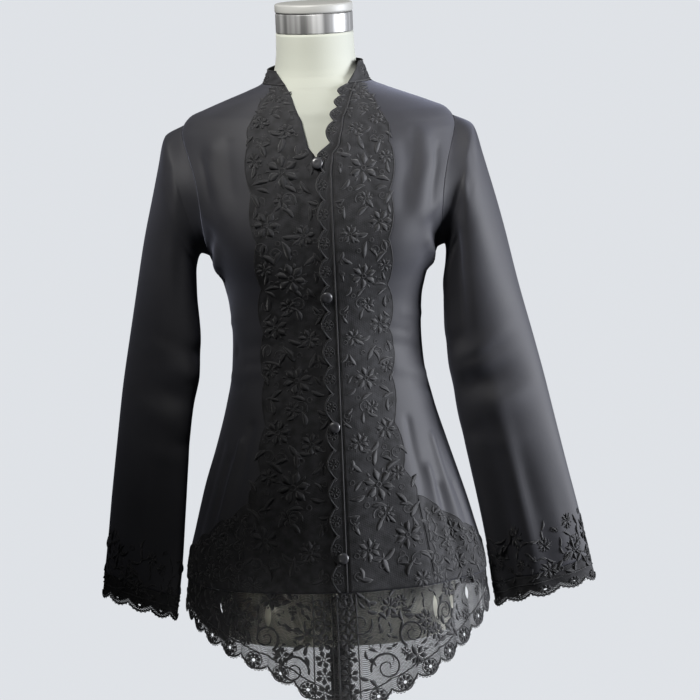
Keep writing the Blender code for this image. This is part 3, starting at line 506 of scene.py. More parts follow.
def opening_edge(level, below, beside=0.0):
    """Angle of a front's edge, or of a line beside it."""
    return angle_at(edge_distance(level, below) + beside, level)


front_levels = np.repeat(panel_levels[:, None], FRONT_COLUMNS, axis=1)
right_angles = spread(cut - 90, -opening_edge(panel_levels, -UNDERLAP), FRONT_COLUMNS)
right_outer = cloth(right_angles, front_levels, CLOTH)
front_right = shell("right_front_panel", right_outer, cloth(right_angles, front_levels, 0.0), sateen)
left_angles = spread(opening_edge(panel_levels, OVERLAP_EDGE), 90 - cut, FRONT_COLUMNS)
left_lift = overlap_lift(left_angles, front_levels)
left_outer = cloth(left_angles, front_levels, left_lift + CLOTH)
front_left = shell("left_front_panel", left_outer, cloth(left_angles, front_levels, left_lift), sateen)
for piece, word in ((front_right, "front_right"), (front_left, "front_left")):
    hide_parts(word)


# Sleeves: two tubes of the sateen, each cut in one piece, set into its armhole and hanging in soft folds.
# The wearer's left one lies flat towards the front and the right one has turned on the way down.
# columns: outer x, outer z, inner x, inner z, half depth, middle y, turn
SLEEVE_LEFT = np.array([
    (0.1830, 1.3540, 0.1475, 1.1965, 0.0560, 0.002, 0.0),
    (0.1940, 1.3360, 0.1515, 1.1930, 0.0610, 0.002, 0.0),
    (0.2030, 1.3040, 0.1525, 1.1850, 0.0620, 0.002, 0.0),
    (0.2140, 1.2620, 0.1510, 1.1700, 0.0590, 0.002, 2.0),
    (0.2270, 1.2080, 0.1475, 1.1420, 0.0540, 0.002, 4.0),
    (0.2410, 1.1450, 0.1470, 1.0950, 0.0470, 0.002, 6.0),
    (0.2560, 1.0820, 0.1510, 1.0430, 0.0400, 0.002, 8.0),
    (0.2710, 1.0180, 0.1590, 0.9850, 0.0340, 0.001, 8.0),
    (0.2850, 0.9550, 0.1710, 0.9230, 0.0300, 0.001, 8.0),
    (0.2970, 0.8980, 0.1815, 0.8640, 0.0270, 0.001, 8.0),
    (0.3100, 0.8400, 0.1905, 0.8070, 0.0245, 0.001, 8.0),
    (0.3200, 0.7920, 0.1960, 0.7610, 0.0230, 0.001, 8.0),
    (0.3260, 0.7620, 0.1985, 0.7330, 0.0225, 0.001, 8.0),
])
SLEEVE_RIGHT = np.array([
    (-0.1820, 1.3540, -0.1475, 1.1965, 0.0560, 0.002, 0.0),
    (-0.1930, 1.3360, -0.1530, 1.1930, 0.0610, 0.002, 0.0),
    (-0.2010, 1.3040, -0.1570, 1.1850, 0.0610, 0.002, 2.0),
    (-0.2110, 1.2620, -0.1590, 1.1700, 0.0560, 0.003, 8.0),
    (-0.2240, 1.2080, -0.1590, 1.1420, 0.0530, 0.004, 16.0),
    (-0.2370, 1.1450, -0.1570, 1.0950, 0.0510, 0.005, 26.0),
    (-0.2490, 1.0820, -0.1610, 1.0430, 0.0490, 0.006, 36.0),
    (-0.2610, 1.0180, -0.1730, 0.9850, 0.0480, 0.007, 44.0),
    (-0.2710, 0.9550, -0.1800, 0.9280, 0.0470, 0.008, 48.0),
    (-0.2790, 0.8980, -0.1850, 0.8730, 0.0460, 0.009, 52.0),
    (-0.2870, 0.8400, -0.1910, 0.8150, 0.0455, 0.010, 55.0),
    (-0.2950, 0.7870, -0.1980, 0.7670, 0.0450, 0.010, 57.0),
    (-0.2990, 0.7550, -0.2020, 0.7370, 0.0450, 0.010, 58.0),
])
CUFF_ROW = 11           # ring at which the fabric ends and the cuff lace begins
CAP_RINGS = 12          # rings over which the sleeve leaves the armhole smoothly, along the panel's own slope
# columns: sleeve, around, around spread, along, along spread, depth
SLEEVE_FOLDS = np.array([
    # the largest: 1 on the wearer's left sleeve, -1 on the right one, 0 on both
    (1, 124.0, 12.0, 0.28, 0.17, -0.0100),
    (1, 152.0, 15.0, 0.27, 0.13, 0.0085),
    (-1, 112.0, 22.0, 0.30, 0.14, -0.0050),
    (1, 128.0, 20.0, 0.84, 0.22, -0.0130),
    (1, 97.0, 11.0, 0.80, 0.18, 0.0042),
    (-1, 120.0, 24.0, 0.80, 0.20, -0.0050),
    (0, 70.0, 26.0, 0.28, 0.16, 0.0030),
    (0, 125.0, 40.0, 0.50, 0.026, 0.0050),
    (0, 110.0, 45.0, 0.545, 0.020, -0.0055),
    (0, 95.0, 40.0, 0.59, 0.024, 0.0045),
    (0, 285.0, 26.0, 0.34, 0.15, -0.0045),
    (0, 255.0, 40.0, 0.53, 0.030, -0.0040),
    (0, 250.0, 40.0, 0.58, 0.030, 0.0035),
    (0, 290.0, 30.0, 0.80, 0.16, 0.0030),
    # finer ones: cap, elbow, forearm
    (0, 30.0, 12.0, 0.10, 0.050, 0.0016),
    (0, 52.0, 10.0, 0.09, 0.045, -0.0014),
    (1, 84.0, 9.0, 0.10, 0.060, 0.0030),
    (1, 104.0, 8.0, 0.11, 0.060, -0.0034),
    (-1, 80.0, 10.0, 0.11, 0.055, 0.0016),
    (0, 330.0, 12.0, 0.10, 0.050, 0.0014),
    (0, 300.0, 11.0, 0.11, 0.050, -0.0014),
    (0, 150.0, 18.0, 0.16, 0.030, 0.0022),
    (0, 140.0, 20.0, 0.21, 0.022, -0.0018),
    (0, 150.0, 26.0, 0.455, 0.016, -0.0026),
    (0, 80.0, 24.0, 0.475, 0.014, 0.0018),
    (1, 105.0, 34.0, 0.500, 0.010, -0.0022),
    (-1, 140.0, 24.0, 0.515, 0.012, -0.0014),
    (0, 75.0, 26.0, 0.565, 0.013, -0.0018),
    (0, 150.0, 24.0, 0.625, 0.015, -0.0024),
    (0, 100.0, 26.0, 0.655, 0.016, 0.0016),
    (0, 85.0, 9.0, 0.74, 0.100, -0.0018),
    (0, 60.0, 12.0, 0.86, 0.120, 0.0016),
    (0, 230.0, 22.0, 0.47, 0.016, 0.0018),
    (0, 270.0, 26.0, 0.62, 0.016, -0.0016),
    (0, 250.0, 12.0, 0.80, 0.110, -0.0016),
])


def sleeve_point(table, along, around, out):
    """Point on a sleeve: an oval between its outer and inner points, swollen by bells at the folds."""
    rows = np.column_stack([np.arange(len(table)), table])
    outer_x, outer_z, inner_x, inner_z, half_depth, middle_y, turn = (curve(rows, k, along) for k in range(1, 8))
    share = along / (len(table) - 1)
    raised = out + 0.0003 * np.sin(3 * np.radians(around) + 26 * share) * eased(share, 0.0, 0.08)
    for sleeve, place, place_spread, place_along, along_spread, depth in SLEEVE_FOLDS:
        if sleeve * table[0, 0] < 0:
            continue
        away = (wrapped(around - place) / place_spread) ** 2 + ((share - place_along) / along_spread) ** 2
        raised = raised + depth * np.exp(-away)
    t = np.radians(around)
    length = np.hypot(outer_x - inner_x, outer_z - inner_z)
    half = 1 + 2 * raised / length
    x = (outer_x + inner_x) / 2 + half * (outer_x - inner_x) / 2 * np.cos(t)
    z = (outer_z + inner_z) / 2 + half * (outer_z - inner_z) / 2 * np.cos(t)
    y = middle_y - (half_depth + raised) * np.sin(t - np.radians(turn))
    return np.stack(np.broadcast_arrays(x, y, z), axis=-1)


def armhole_rim(front_edge, back_edge):
    """Closed ring of an armhole: down the front edge's points from the shoulder, then up the back edge's."""
    ring = np.concatenate([front_edge[::-1], back_edge[1:-1]])
    ring[0] = (front_edge[-1] + back_edge[-1]) / 2
    ring[len(ring) // 2] = (front_edge[0] + back_edge[0]) / 2
    return ring


def edge_normal(angle, level, inward):
    """Normal of the cloth at a panel's edge, from a small step in from the edge and one along it."""
    across = inward * (cloth(angle + 0.8 * inward, level, 0.0) - cloth(angle, level, 0.0))
    return np.cross(across, cloth(angle, level + 0.001, 0.0) - cloth(angle, level - 0.001, 0.0))


def set_in_sleeve(name, side, table, rim, facing):
    """Tube from just outside the armhole through the sleeve's rings, its wall turned in by the cloth's thickness.

    It leaves the panels along their own slope, as a cubic curve from the rim to the ring after the cap.
    """
    around = np.arange(len(rim)) * 360.0 / len(rim)
    rings = sleeve_point(table, np.linspace(0, CUFF_ROW, 178)[:, None], around[None, :], 0.0)
    away = np.cross(facing, np.roll(rim, -1, axis=0) - np.roll(rim, 1, axis=0))
    away /= np.linalg.norm(away, axis=1, keepdims=True)
    away *= np.sign((away * (rings[CAP_RINGS] - rim)).sum())
    straight = (rings[CAP_RINGS] - rim) / np.linalg.norm(rings[CAP_RINGS] - rim, axis=1, keepdims=True)
    top = np.exp(-(((rim[:, 2:] - rim[:, 2].max()) / 0.020) ** 2))
    away = away * (1 - top) + straight * top
    start = rim + (SEAM + 0.0002) * away
    joined = rings[CAP_RINGS]
    reach = np.linalg.norm(joined - start, axis=1, keepdims=True)
    leading = np.clip(((joined - start) / reach * away).sum(axis=1, keepdims=True), 0.12, 1) * 0.6 * reach * away
    ending = (rings[CAP_RINGS + 1] - rings[CAP_RINGS - 1]) / 2 * (CAP_RINGS + 2)
    s = (np.arange(CAP_RINGS + 2) / (CAP_RINGS + 2))[:, None, None]
    cap = ((2 * s**3 - 3 * s**2 + 1) * start + (s**3 - 2 * s**2 + s) * leading + (3 * s**2 - 2 * s**3) * joined
           + (s**3 - s**2) * ending)
    grid = np.concatenate([cap, rings[CAP_RINGS:]])
    if side > 0:
        grid = grid[:, ::-1]
    grid = grid[::-1]
    across = np.roll(grid, -1, axis=1) - np.roll(grid, 1, axis=1)
    normal = np.cross(across, np.gradient(grid, axis=0))
    normal /= np.linalg.norm(normal, axis=-1, keepdims=True)
    return shell(name, grid, grid - CLOTH * normal, sateen, closed=True)


rows = slice(ARMHOLE_FIRST, ARMHOLE_LAST + 1)
rim_cut, rim_levels = cut[rows], panel_levels[rows]
sleeve_left = set_in_sleeve(
    "left_sleeve", 1, SLEEVE_LEFT, armhole_rim(left_outer[rows, -1], back_outer[rows, 0]),
    armhole_rim(edge_normal(90 - rim_cut, rim_levels, -1), edge_normal(90 + rim_cut, rim_levels, 1)))
sleeve_right = set_in_sleeve(
    "right_sleeve", -1, SLEEVE_RIGHT, armhole_rim(right_outer[rows, 0], back_outer[rows, -1]),
    armhole_rim(edge_normal(rim_cut - 90, rim_levels, 1), edge_normal(270 - rim_cut, rim_levels, -1)))
for piece, word in ((sleeve_left, "sleeve_left"), (sleeve_right, "sleeve_right")):
    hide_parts(word)


# Dress form: a smooth padded torso under a tight cream jersey cover, with a short neck and no limbs.
# A bright band and a pale cap close the neck, and it stands on a steel tube with a round weighted base.
FORM_EASE = 0.0009      # gap between the form and the cloth on the shoulders
# columns: height, half width, front, back, square
FORM_LOWER = np.array([
    (0.7090, 0.1360, 0.0990, 0.1040, 2.2),
    (0.7130, 0.1415, 0.1040, 0.1090, 2.2),
    (0.7250, 0.1440, 0.1060, 0.1110, 2.2),
    (0.8000, 0.1520, 0.1110, 0.1180, 2.1),
    (0.8700, 0.1520, 0.1100, 0.1160, 2.1),
    (0.9300, 0.1430, 0.1030, 0.1050, 2.0),
    (0.9900, 0.1270, 0.0940, 0.0900, 2.0),
    (1.0400, 0.1150, 0.0880, 0.0790, 2.0),
    (1.0900, 0.1115, 0.0880, 0.0760, 2.05),
    (1.1300, 0.1145, 0.0930, 0.0825, 2.1),
    (1.1600, 0.1225, 0.1020, 0.0915, 2.15),
])
FORM_NECK = np.array([
    (1.4100, 0.0560, 0.0520, 0.0540, 2.0),
    (1.4220, 0.0510, 0.0490, 0.0500, 2.0),
    (1.4420, 0.0485, 0.0475, 0.0485, 2.0),
    (1.4640, 0.0480, 0.0475, 0.0480, 2.0),
])
BAND_BOTTOM = 1.4645
BAND_TOP = 1.4885
BAND_RADIUS = 0.0478
CAP_TOP = 1.5005
POLE_RADIUS = 0.0130


def closed_stack(name, rings, look):
    """Closed solid from a stack of rings going up: quads between them and a fan at each end."""
    count, sides = rings.shape[:2]
    points = np.concatenate([rings.reshape(-1, 3), rings[[0, -1]].mean(axis=1)])
    row, k = np.meshgrid(np.arange(count - 1), np.arange(sides), indexing="ij")
    after = (k + 1) % sides
    a, b, c, d = (x.ravel() for x in (row * sides + k, row * sides + after, (row + 1) * sides + after,
                                      (row + 1) * sides + k))
    k, after = k[0], after[0]
    top = (count - 1) * sides
    low, high = np.full(sides, count * sides), np.full(sides, count * sides + 1)
    faces = np.concatenate([np.stack([a, b, c], axis=1), np.stack([a, c, d], axis=1),
                            np.stack([low, after, k], axis=1), np.stack([high, top + k, top + after], axis=1)])
    turn = np.arctan2(points[:, 1], points[:, 0])
    flat = np.stack([turn * np.hypot(points[:, 0], points[:, 1]), points[:, 2]], axis=1)
    return surface(name, points, faces, flat[faces], look)


def turned(name, profile, look, sides=96):
    """Solid of revolution about the form's middle, from (radius, height) pairs going up."""
    turn = np.arange(sides) * 2 * math.pi / sides
    radius, height = np.array(profile).T
    rings = np.stack(np.broadcast_arrays(radius[:, None] * np.cos(turn), radius[:, None] * np.sin(turn),
                                         height[:, None]), axis=-1)
    return closed_stack(name, rings, look)


def rounded(radius, low, high, edge, steps=5):
    """Profile of a round wall from low to high with its two edges rounded off."""
    t = np.linspace(0, math.pi / 2, steps)
    below = [(radius - edge + edge * math.sin(a), low + edge - edge * math.cos(a)) for a in t]
    above = [(radius - edge + edge * math.cos(a), high - edge + edge * math.sin(a)) for a in t]
    return below + above


def plain_material(name, colour, roughness, metallic=0.0):
    """Material with its name, tree and shader ready, in one colour."""
    made = bpy.data.materials.new(name)
    made.use_nodes = True
    shader = made.node_tree.nodes["Principled BSDF"]
    shader.inputs["Base Color"].default_value = (*colour, 1.0)
    shader.inputs["Roughness"].default_value = roughness
    shader.inputs["Metallic"].default_value = metallic
    return made, made.node_tree, shader


def grain_group():
    """Group: a colour mottled between two tones, and a height, both from noise on the piece's own coordinates."""
    group, start, end = node_group(
        "grain", [("Place", "NodeSocketVector", None), ("Size", "NodeSocketFloat", 60.0),
                  ("First", "NodeSocketColor", None), ("Second", "NodeSocketColor", None)],
        [("Colour", "NodeSocketColor"), ("Height", "NodeSocketFloat")])
    broad = node(group, "ShaderNodeTexNoise", [("Vector", start.outputs["Place"]), ("Scale", 9.0), ("Detail", 3.0)])
    fine = node(group, "ShaderNodeTexNoise", [("Vector", start.outputs["Place"]), ("Scale", start.outputs["Size"]),
                                              ("Detail", 4.0)])
    mixed = node(group, "ShaderNodeMix", [("Factor", broad.outputs["Fac"]), ("A", start.outputs["First"]),
                                          ("B", start.outputs["Second"])], data_type="RGBA")
    group.links.new(mixed.outputs["Result"], end.inputs["Colour"])
    group.links.new(fine.outputs["Fac"], end.inputs["Height"])
    return group


def finish_surface(look, size, depth, first=None, second=None):
    """Feeds a material's bump, and its colour where two tones are given, from the grain group on its own coordinates."""
    tree = look.node_tree
    shader = tree.nodes["Principled BSDF"]
    place = node(tree, "ShaderNodeTexCoord")
    grain = node(tree, "ShaderNodeGroup", node_tree=grain_look)
    tree.links.new(place.outputs["Object"], grain.inputs["Place"])
    grain.inputs["Size"].default_value = size
    bump = node(tree, "ShaderNodeBump", [("Height", grain.outputs["Height"]), ("Strength", 0.6), ("Distance", depth)])
    tree.links.new(bump.outputs[0], shader.inputs["Normal"])
    if first:
        grain.inputs["First"].default_value = (*first, 1)
        grain.inputs["Second"].default_value = (*second, 1)
        tree.links.new(grain.outputs["Colour"], shader.inputs["Base Color"])


grain_look = grain_group()
jersey, jersey_tree, jersey_shader = plain_material("cream_jersey", (0.78, 0.75, 0.68), 0.75)
finish_surface(jersey, 900.0, 0.00025)
jersey_shader.inputs["Sheen Weight"].default_value = 0.25
# painted light: the cover's colour runs from pale cream low down to dark grey at the neck, to even out the light; the
# lower torso lies in shade under the blouse and the neck stands under the ceiling light
height = node(jersey_tree, "ShaderNodeSeparateXYZ",
              [(0, node(jersey_tree, "ShaderNodeTexCoord").outputs["Object"])])
painted_light_by_height = node(jersey_tree, "ShaderNodeMapRange", [(0, height.outputs[2]), (1, 0.95), (2, 1.35), (3, 0.0), (4, 1.0)])
painted_light_tone = node(jersey_tree, "ShaderNodeMix", [("Factor", painted_light_by_height.outputs[0]), ("A", (0.80, 0.79, 0.68, 1.0)),
                                           ("B", (0.31, 0.32, 0.28, 1.0))], data_type="RGBA")
jersey_tree.links.new(painted_light_tone.outputs["Result"], jersey_shader.inputs["Base Color"])
form_angles = np.arange(128) * 360.0 / 128
lower = np.concatenate([np.linspace(0.7090, 0.7250, 12), np.linspace(0.73, 1.16, 60)])
lower_rows = [curve(FORM_LOWER, k, lower)[:, None] for k in range(1, 5)]
lower_rings = oval(form_angles[None, :], *lower_rows, lower[:, None])
upper = np.linspace(1.190, 1.474, 60)[:, None]
ease = FORM_EASE + 0.0024 * (1 - eased(upper, 1.365, 1.395)) + 0.0014 * (1 - eased(upper, 1.20, 1.25))
upper_rings = skin(form_angles[None, :], upper) - ease[..., None] * outward(form_angles[None, :], upper)
neck = np.linspace(1.4100, 1.4640, 16)
neck_rows = [curve(FORM_NECK, k, neck)[:, None] for k in range(1, 5)]
neck_rings = oval(form_angles[None, :], *neck_rows, neck[:, None])
torso = closed_stack("form_torso", np.concatenate([lower_rings, upper_rings, neck_rings]), jersey)
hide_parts("form_body")

chrome = plain_material("bright_steel", (0.72, 0.72, 0.74), 0.10, 1.0)[0]
finish_surface(chrome, 300.0, 0.00002, (0.70, 0.70, 0.72), (0.78, 0.78, 0.80))
cap_pale = plain_material("pale_cap", (0.62, 0.60, 0.56), 0.5)[0]
finish_surface(cap_pale, 500.0, 0.00008, (0.24, 0.24, 0.23), (0.30, 0.30, 0.29))
# painted reflection: the band's base colour is darker in upright streaks, standing in for the room reflected in its
# steel, and a painted highlight brightens it in an upright strip where x is near 0
painted_reflection_steel, painted_reflection_tree, painted_reflection_shader = plain_material("steel_with_painted_reflections", (0.40, 0.40, 0.40), 0.38, 0.25)
across = node(painted_reflection_tree, "ShaderNodeSeparateXYZ",
              [(0, node(painted_reflection_tree, "ShaderNodeTexCoord").outputs["Object"])])
upright = node(painted_reflection_tree, "ShaderNodeCombineXYZ", [(0, across.outputs[0]), (1, across.outputs[1])])
reflection_streaks = node(painted_reflection_tree, "ShaderNodeTexNoise",
               [("Vector", upright.outputs[0]), ("Scale", 95.0), ("Detail", 1.5)])
painted_streak_tone = node(painted_reflection_tree, "ShaderNodeMapRange", [(0, reflection_streaks.outputs["Fac"]), (1, 0.38), (2, 0.62), (3, 0.10),
                                                  (4, 0.27)])
off_middle = maths(painted_reflection_tree, "ABSOLUTE", maths(painted_reflection_tree, "ADD", across.outputs[0], -0.002))
painted_highlight = node(painted_reflection_tree, "ShaderNodeMapRange", [(0, off_middle), (1, 0.010), (2, 0.003), (3, 0.0), (4, 0.22)])
painted_reflection_tree.links.new(maths(painted_reflection_tree, "ADD", painted_streak_tone.outputs[0], painted_highlight.outputs[0]),
                        painted_reflection_shader.inputs["Base Color"])
band = turned("neck_band", rounded(BAND_RADIUS, BAND_BOTTOM, BAND_TOP, 0.0012), painted_reflection_steel)
cap = turned("neck_cap", rounded(BAND_RADIUS + 0.0005, BAND_TOP + SEAM, CAP_TOP, 0.0028), cap_pale)
pole = turned("pole", rounded(POLE_RADIUS, 0.0125, 0.7087, 0.0006), chrome, 64)
base_profile = [(0.166, 0.0), (0.1690, 0.0004), (0.1700, 0.0016), (0.1700, 0.0070), (0.1694, 0.0084),
                (0.1680, 0.0093), (0.1640, 0.0100), (0.1200, 0.0108), (0.0600, 0.0117), (0.0300, 0.0122),
                (0.0280, 0.0123)]
base = turned("round_base", base_profile, chrome, 160)
for piece, word, finish in ((band, "form_neck_band", "bright_metal"), (cap, "form_cap", "cap_grey"),
                            (pole, "stand_pole", "bright_metal"), (base, "stand_base", "bright_metal")):
    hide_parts(word)


# Lace down the opening: a band of black corded lace sewn flat on each front, its outer edge cut round in soft lobes.
# Flowers, leaves, curls and rings of satin-stitched thread stand up from a close dark ground.
LACE = 0.0005           # thickness of the lace ground
LAY = 0.0009            # height of the ground over the fabric
EDGING_WIDTH = 0.011    # how far the edging lies on the left front


def net_group():
    """Group: 1 on the threads of a six-sided net and 0 in its holes, from cos sums in three directions."""
    group, start, end = node_group(
        "net", [("Flat", "NodeSocketVector", None), ("Pitch", "NodeSocketFloat", 0.0018),
                ("Level", "NodeSocketFloat", 0.2)], [("Threads", "NodeSocketFloat")])
    split = node(group, "ShaderNodeSeparateXYZ", [(0, start.outputs["Flat"])])
    rate = maths(group, "DIVIDE", 2 * math.pi / math.cos(math.radians(30)), start.outputs["Pitch"])
    total = None
    for turn in (0, 60, 120):
        c, s = math.cos(math.radians(turn)), math.sin(math.radians(turn))
        run = maths(group, "ADD", maths(group, "MULTIPLY", split.outputs[0], c),
                    maths(group, "MULTIPLY", split.outputs[1], s))
        wave = maths(group, "COSINE", maths(group, "MULTIPLY", run, rate))
        total = wave if total is None else maths(group, "ADD", total, wave)
    over = maths(group, "SUBTRACT", start.outputs["Level"], total)
    threads = maths(group, "MULTIPLY_ADD", over, 4.0, 0.5)
    clear = node(group, "ShaderNodeClamp", [("Value", threads)])
    group.links.new(clear.outputs[0], end.inputs["Threads"])
    return group


def stitch_group():
    """Group: height of satin stitch, close ridges across the thread's run, with a slow change of tone."""
    group, start, end = node_group(
        "satin_stitch", [("Flat", "NodeSocketVector", None), ("Stitches", "NodeSocketFloat", 9000.0)],
        [("Height", "NodeSocketFloat"), ("Tone", "NodeSocketFloat")])
    split = node(group, "ShaderNodeSeparateXYZ", [(0, start.outputs["Flat"])])
    slant = maths(group, "MULTIPLY_ADD", split.outputs[1], 0.6, split.outputs[0])
    ridge = maths(group, "SINE", maths(group, "MULTIPLY", slant, start.outputs["Stitches"]))
    tone = node(group, "ShaderNodeTexNoise", [("Vector", start.outputs["Flat"]), ("Scale", 55.0), ("Detail", 2.0)])
    group.links.new(ridge, end.inputs["Height"])
    group.links.new(tone.outputs["Fac"], end.inputs["Tone"])
    return group


def lace_ground_look(name, clear, closeness=0.6):
    """Black lace ground: a fine net over the cloth, or, where clear is set, see-through between its threads.

    A clear one is cut away where its attribute gap is below 0, and filled in solid where its attribute close is 1: a
    close-worked band at the cuffs' ends, and painted shade on one side of the hem lace.
    """
    made, tree, shader = plain_material(name, (0.004, 0.004, 0.005), 0.8)
    flat = node(tree, "ShaderNodeUVMap", uv_map="cloth")
    net = node(tree, "ShaderNodeGroup", node_tree=net_look)
    tree.links.new(flat.outputs[0], net.inputs["Flat"])
    net.inputs["Pitch"].default_value = 0.0020 if clear else 0.0030
    net.inputs["Level"].default_value = closeness
    blotch = node(tree, "ShaderNodeTexNoise", [("Vector", flat.outputs[0]), ("Scale", 90.0), ("Detail", 3.0)])
    tone = node(tree, "ShaderNodeValToRGB", [(0, blotch.outputs["Fac"])])
    tone.color_ramp.elements[0].position = 0.35
    tone.color_ramp.elements[0].color = (0.0080, 0.0080, 0.0090, 1)
    tone.color_ramp.elements[1].position = 0.70
    tone.color_ramp.elements[1].color = (0.0260, 0.0260, 0.0290, 1)
    bump = node(tree, "ShaderNodeBump", [("Height", net.outputs["Threads"]), ("Strength", 0.8), ("Distance", 0.0004)])
    tree.links.new(tone.outputs[0], shader.inputs["Base Color"])
    tree.links.new(bump.outputs[0], shader.inputs["Normal"])
    shader.inputs["Specular IOR Level"].default_value = 0.3
    if clear:
        gap = node(tree, "ShaderNodeAttribute", attribute_name="gap")
        solid = maths(tree, "GREATER_THAN", gap.outputs["Fac"], 0.0)
        close = node(tree, "ShaderNodeAttribute", attribute_name="close")
        threads = maths(tree, "MAXIMUM", maths(tree, "MULTIPLY", net.outputs["Threads"], 0.92), close.outputs["Fac"])
        seen = maths(tree, "MULTIPLY", threads, solid)
        tree.links.new(seen, shader.inputs["Alpha"])
    return made


def thread_look():
    """Black lace thread: satin-stitched cotton with a soft shine."""
    made, tree, shader = plain_material("lace_thread", (0.02, 0.02, 0.022), 0.5)
    flat = node(tree, "ShaderNodeUVMap", uv_map="cloth")
    stitch = node(tree, "ShaderNodeGroup", node_tree=stitch_look)
    tree.links.new(flat.outputs[0], stitch.inputs["Flat"])
    tone = node(tree, "ShaderNodeValToRGB", [(0, stitch.outputs["Tone"])])
    tone.color_ramp.elements[0].position = 0.30
    tone.color_ramp.elements[0].color = (0.0120, 0.0120, 0.0135, 1)
    tone.color_ramp.elements[1].position = 0.75
    tone.color_ramp.elements[1].color = (0.0230, 0.0230, 0.0255, 1)
    bump = node(tree, "ShaderNodeBump", [("Height", stitch.outputs["Height"]), ("Strength", 0.4),
                                         ("Distance", 0.00012)])
    tree.links.new(tone.outputs[0], shader.inputs["Base Color"])
    tree.links.new(bump.outputs[0], shader.inputs["Normal"])
    shader.inputs["Roughness"].default_value = 0.60
    shader.inputs["Specular IOR Level"].default_value = 0.30
    shader.inputs["Sheen Weight"].default_value = 0.12
    shader.inputs["Sheen Roughness"].default_value = 0.4
    return made


def mark(ground, word, values):
    """Writes a named value for each point of a shell's grid, the same on both its faces."""
    both = np.tile(values.ravel(), 2).astype(np.float32)
    ground.data.attributes.new(word, "FLOAT", "POINT").data.foreach_set("value", both)


def leaf(length, width, bend, stations=8):
    """Leaf from its foot at 0: x = length s, y = bend sin(pi s), as wide as width sin(pi s^0.8)."""
    s = np.linspace(0, 1, stations)
    path = np.stack([length * s, bend * np.sin(math.pi * s)], axis=-1)[None]
    return path, (width * np.sin(math.pi * s**0.8) + 0.0003)[None]


def ring(radius, width, stations=13):
    """Closed ring of cord."""
    turn = np.linspace(0, 2 * math.pi, stations)
    path = radius * np.stack([np.cos(turn), np.sin(turn)], axis=-1)[None]
    return path, np.full((1, stations), width)


def curl(size, turns, width, stations=22):
    """Curling stem: r = size (1 - 0.85 s), turned through its turns, thinning to its tip."""
    s = np.linspace(0, 1, stations)
    turn = 2 * math.pi * turns * s
    radius = size * (1 - 0.85 * s)
    path = np.stack([size - radius * np.cos(turn), radius * np.sin(turn)], axis=-1)[None]
    return path, (width * (1 - 0.6 * s))[None]


def petals(count, inner, outer, width, stations=7):
    """Ring of petals from an inner to an outer radius, each widest past its middle."""
    s = np.linspace(0, 1, stations)
    radius = inner + (outer - inner) * s
    turn = np.arange(count)[:, None] * 2 * math.pi / count + 0.10 * np.sin(math.pi * s)[None, :]
    path = np.stack([radius * np.cos(turn), radius * np.sin(turn)], axis=-1)
    return path, np.repeat((width * np.sin(math.pi * s**1.3) ** 0.8 + 0.0003)[None], count, axis=0)


def sprinkled(shape, rows):
    """A shape set down at each row (x, z, turn, scale, side): turned, sized and, for side -1, mirrored."""
    path, width = shape
    rows = np.asarray(rows, float).reshape(-1, 5)
    x, z, turn, scale, side = (rows[:, k, None, None] for k in range(5))
    c, s = np.cos(np.radians(turn)), np.sin(np.radians(turn))
    a, b = path[None, ..., 0] * scale, path[None, ..., 1] * scale
    stations = path.shape[1]
    first = (x + side * (a * c - b * s)).reshape(-1, stations)
    second = (z + a * s + b * c).reshape(-1, stations)
    return first, second, (width[None] * scale).reshape(-1, stations)


def thread_runs(place, first, second, width, rise):
    """Raised threads along paths on a surface: a low ridge of three lines, and the flat side under it.

    place(first, second, out) gives points. Each station has a left edge, a crest and a right edge.
    """
    base = place(first, second, 0.0)
    up = place(first, second, 0.001) - base
    up /= np.linalg.norm(up, axis=-1, keepdims=True)
    along = np.gradient(base, axis=1)
    across = np.cross(up, along)
    across /= np.maximum(np.linalg.norm(across, axis=-1, keepdims=True), 1e-9)
    half = np.broadcast_to(width, base.shape[:2])[..., None] / 2
    ridge = base + up * np.minimum(rise, 0.0002 + half * 0.9)
    points = np.stack([base + across * half, ridge, base - across * half], axis=2)
    paths, stations = base.shape[:2]
    index = np.arange(paths * stations * 3).reshape(paths, stations, 3)
    a, b = index[:, :-1], index[:, 1:]
    faces = []
    for k in range(3):
        after = (k + 1) % 3
        faces.append(np.stack([a[..., k], b[..., k], b[..., after]], axis=-1).reshape(-1, 3))
        faces.append(np.stack([a[..., k], b[..., after], a[..., after]], axis=-1).reshape(-1, 3))
    faces.append(index[:, 0])
    faces.append(index[:, -1][:, ::-1])
    run = np.repeat(lengths(base, 1)[..., None], 3, axis=-1)
    beside = np.concatenate([half, 0 * half, -half], axis=-1)
    flat = np.stack([run, beside], axis=-1).reshape(-1, 2)
    return points.reshape(-1, 3), np.concatenate(faces), flat


def joined_threads(name, runs, look):
    """One mesh from several groups of thread runs."""
    points, faces, flats, total = [], [], [], 0
    for one_points, one_faces, one_flat in runs:
        points.append(one_points)
        faces.append(one_faces + total)
        flats.append(one_flat)
        total += len(one_points)
    faces, flat = np.concatenate(faces), np.concatenate(flats)
    return surface(name, np.concatenate(points), faces, flat[faces], look)


def front_place(side):
    """Place on a front's lace: distance from the middle and level, just over the lace ground."""
    def place(distance, level, out):
        angle = angle_at(distance, level)
        lift = overlap_lift(angle, level) if side > 0 else 0.0
        return cloth(angle, level, lift + CLOTH + LAY + LACE - 0.0001 + out)
    return place


def band_reach(level):
    """Distance of the band's outer edge from the middle: lobes |sin|^0.7, and plain where the border joins it."""
    lobes = 0.006 * np.abs(np.sin(level * math.pi / 0.058)) ** 0.7 * eased(level, 0.885, 0.905)
    return np.interp(level, (0.785, 0.80, 0.85, 0.89, 0.93, 1.00, 1.16, 1.25, 1.33, 1.36, 1.42, 1.474),
                     (0.1190, 0.1162, 0.1088, 0.1012, 0.086, 0.076, 0.076, 0.082, 0.086, 0.080, 0.064, 0.048)) + lobes


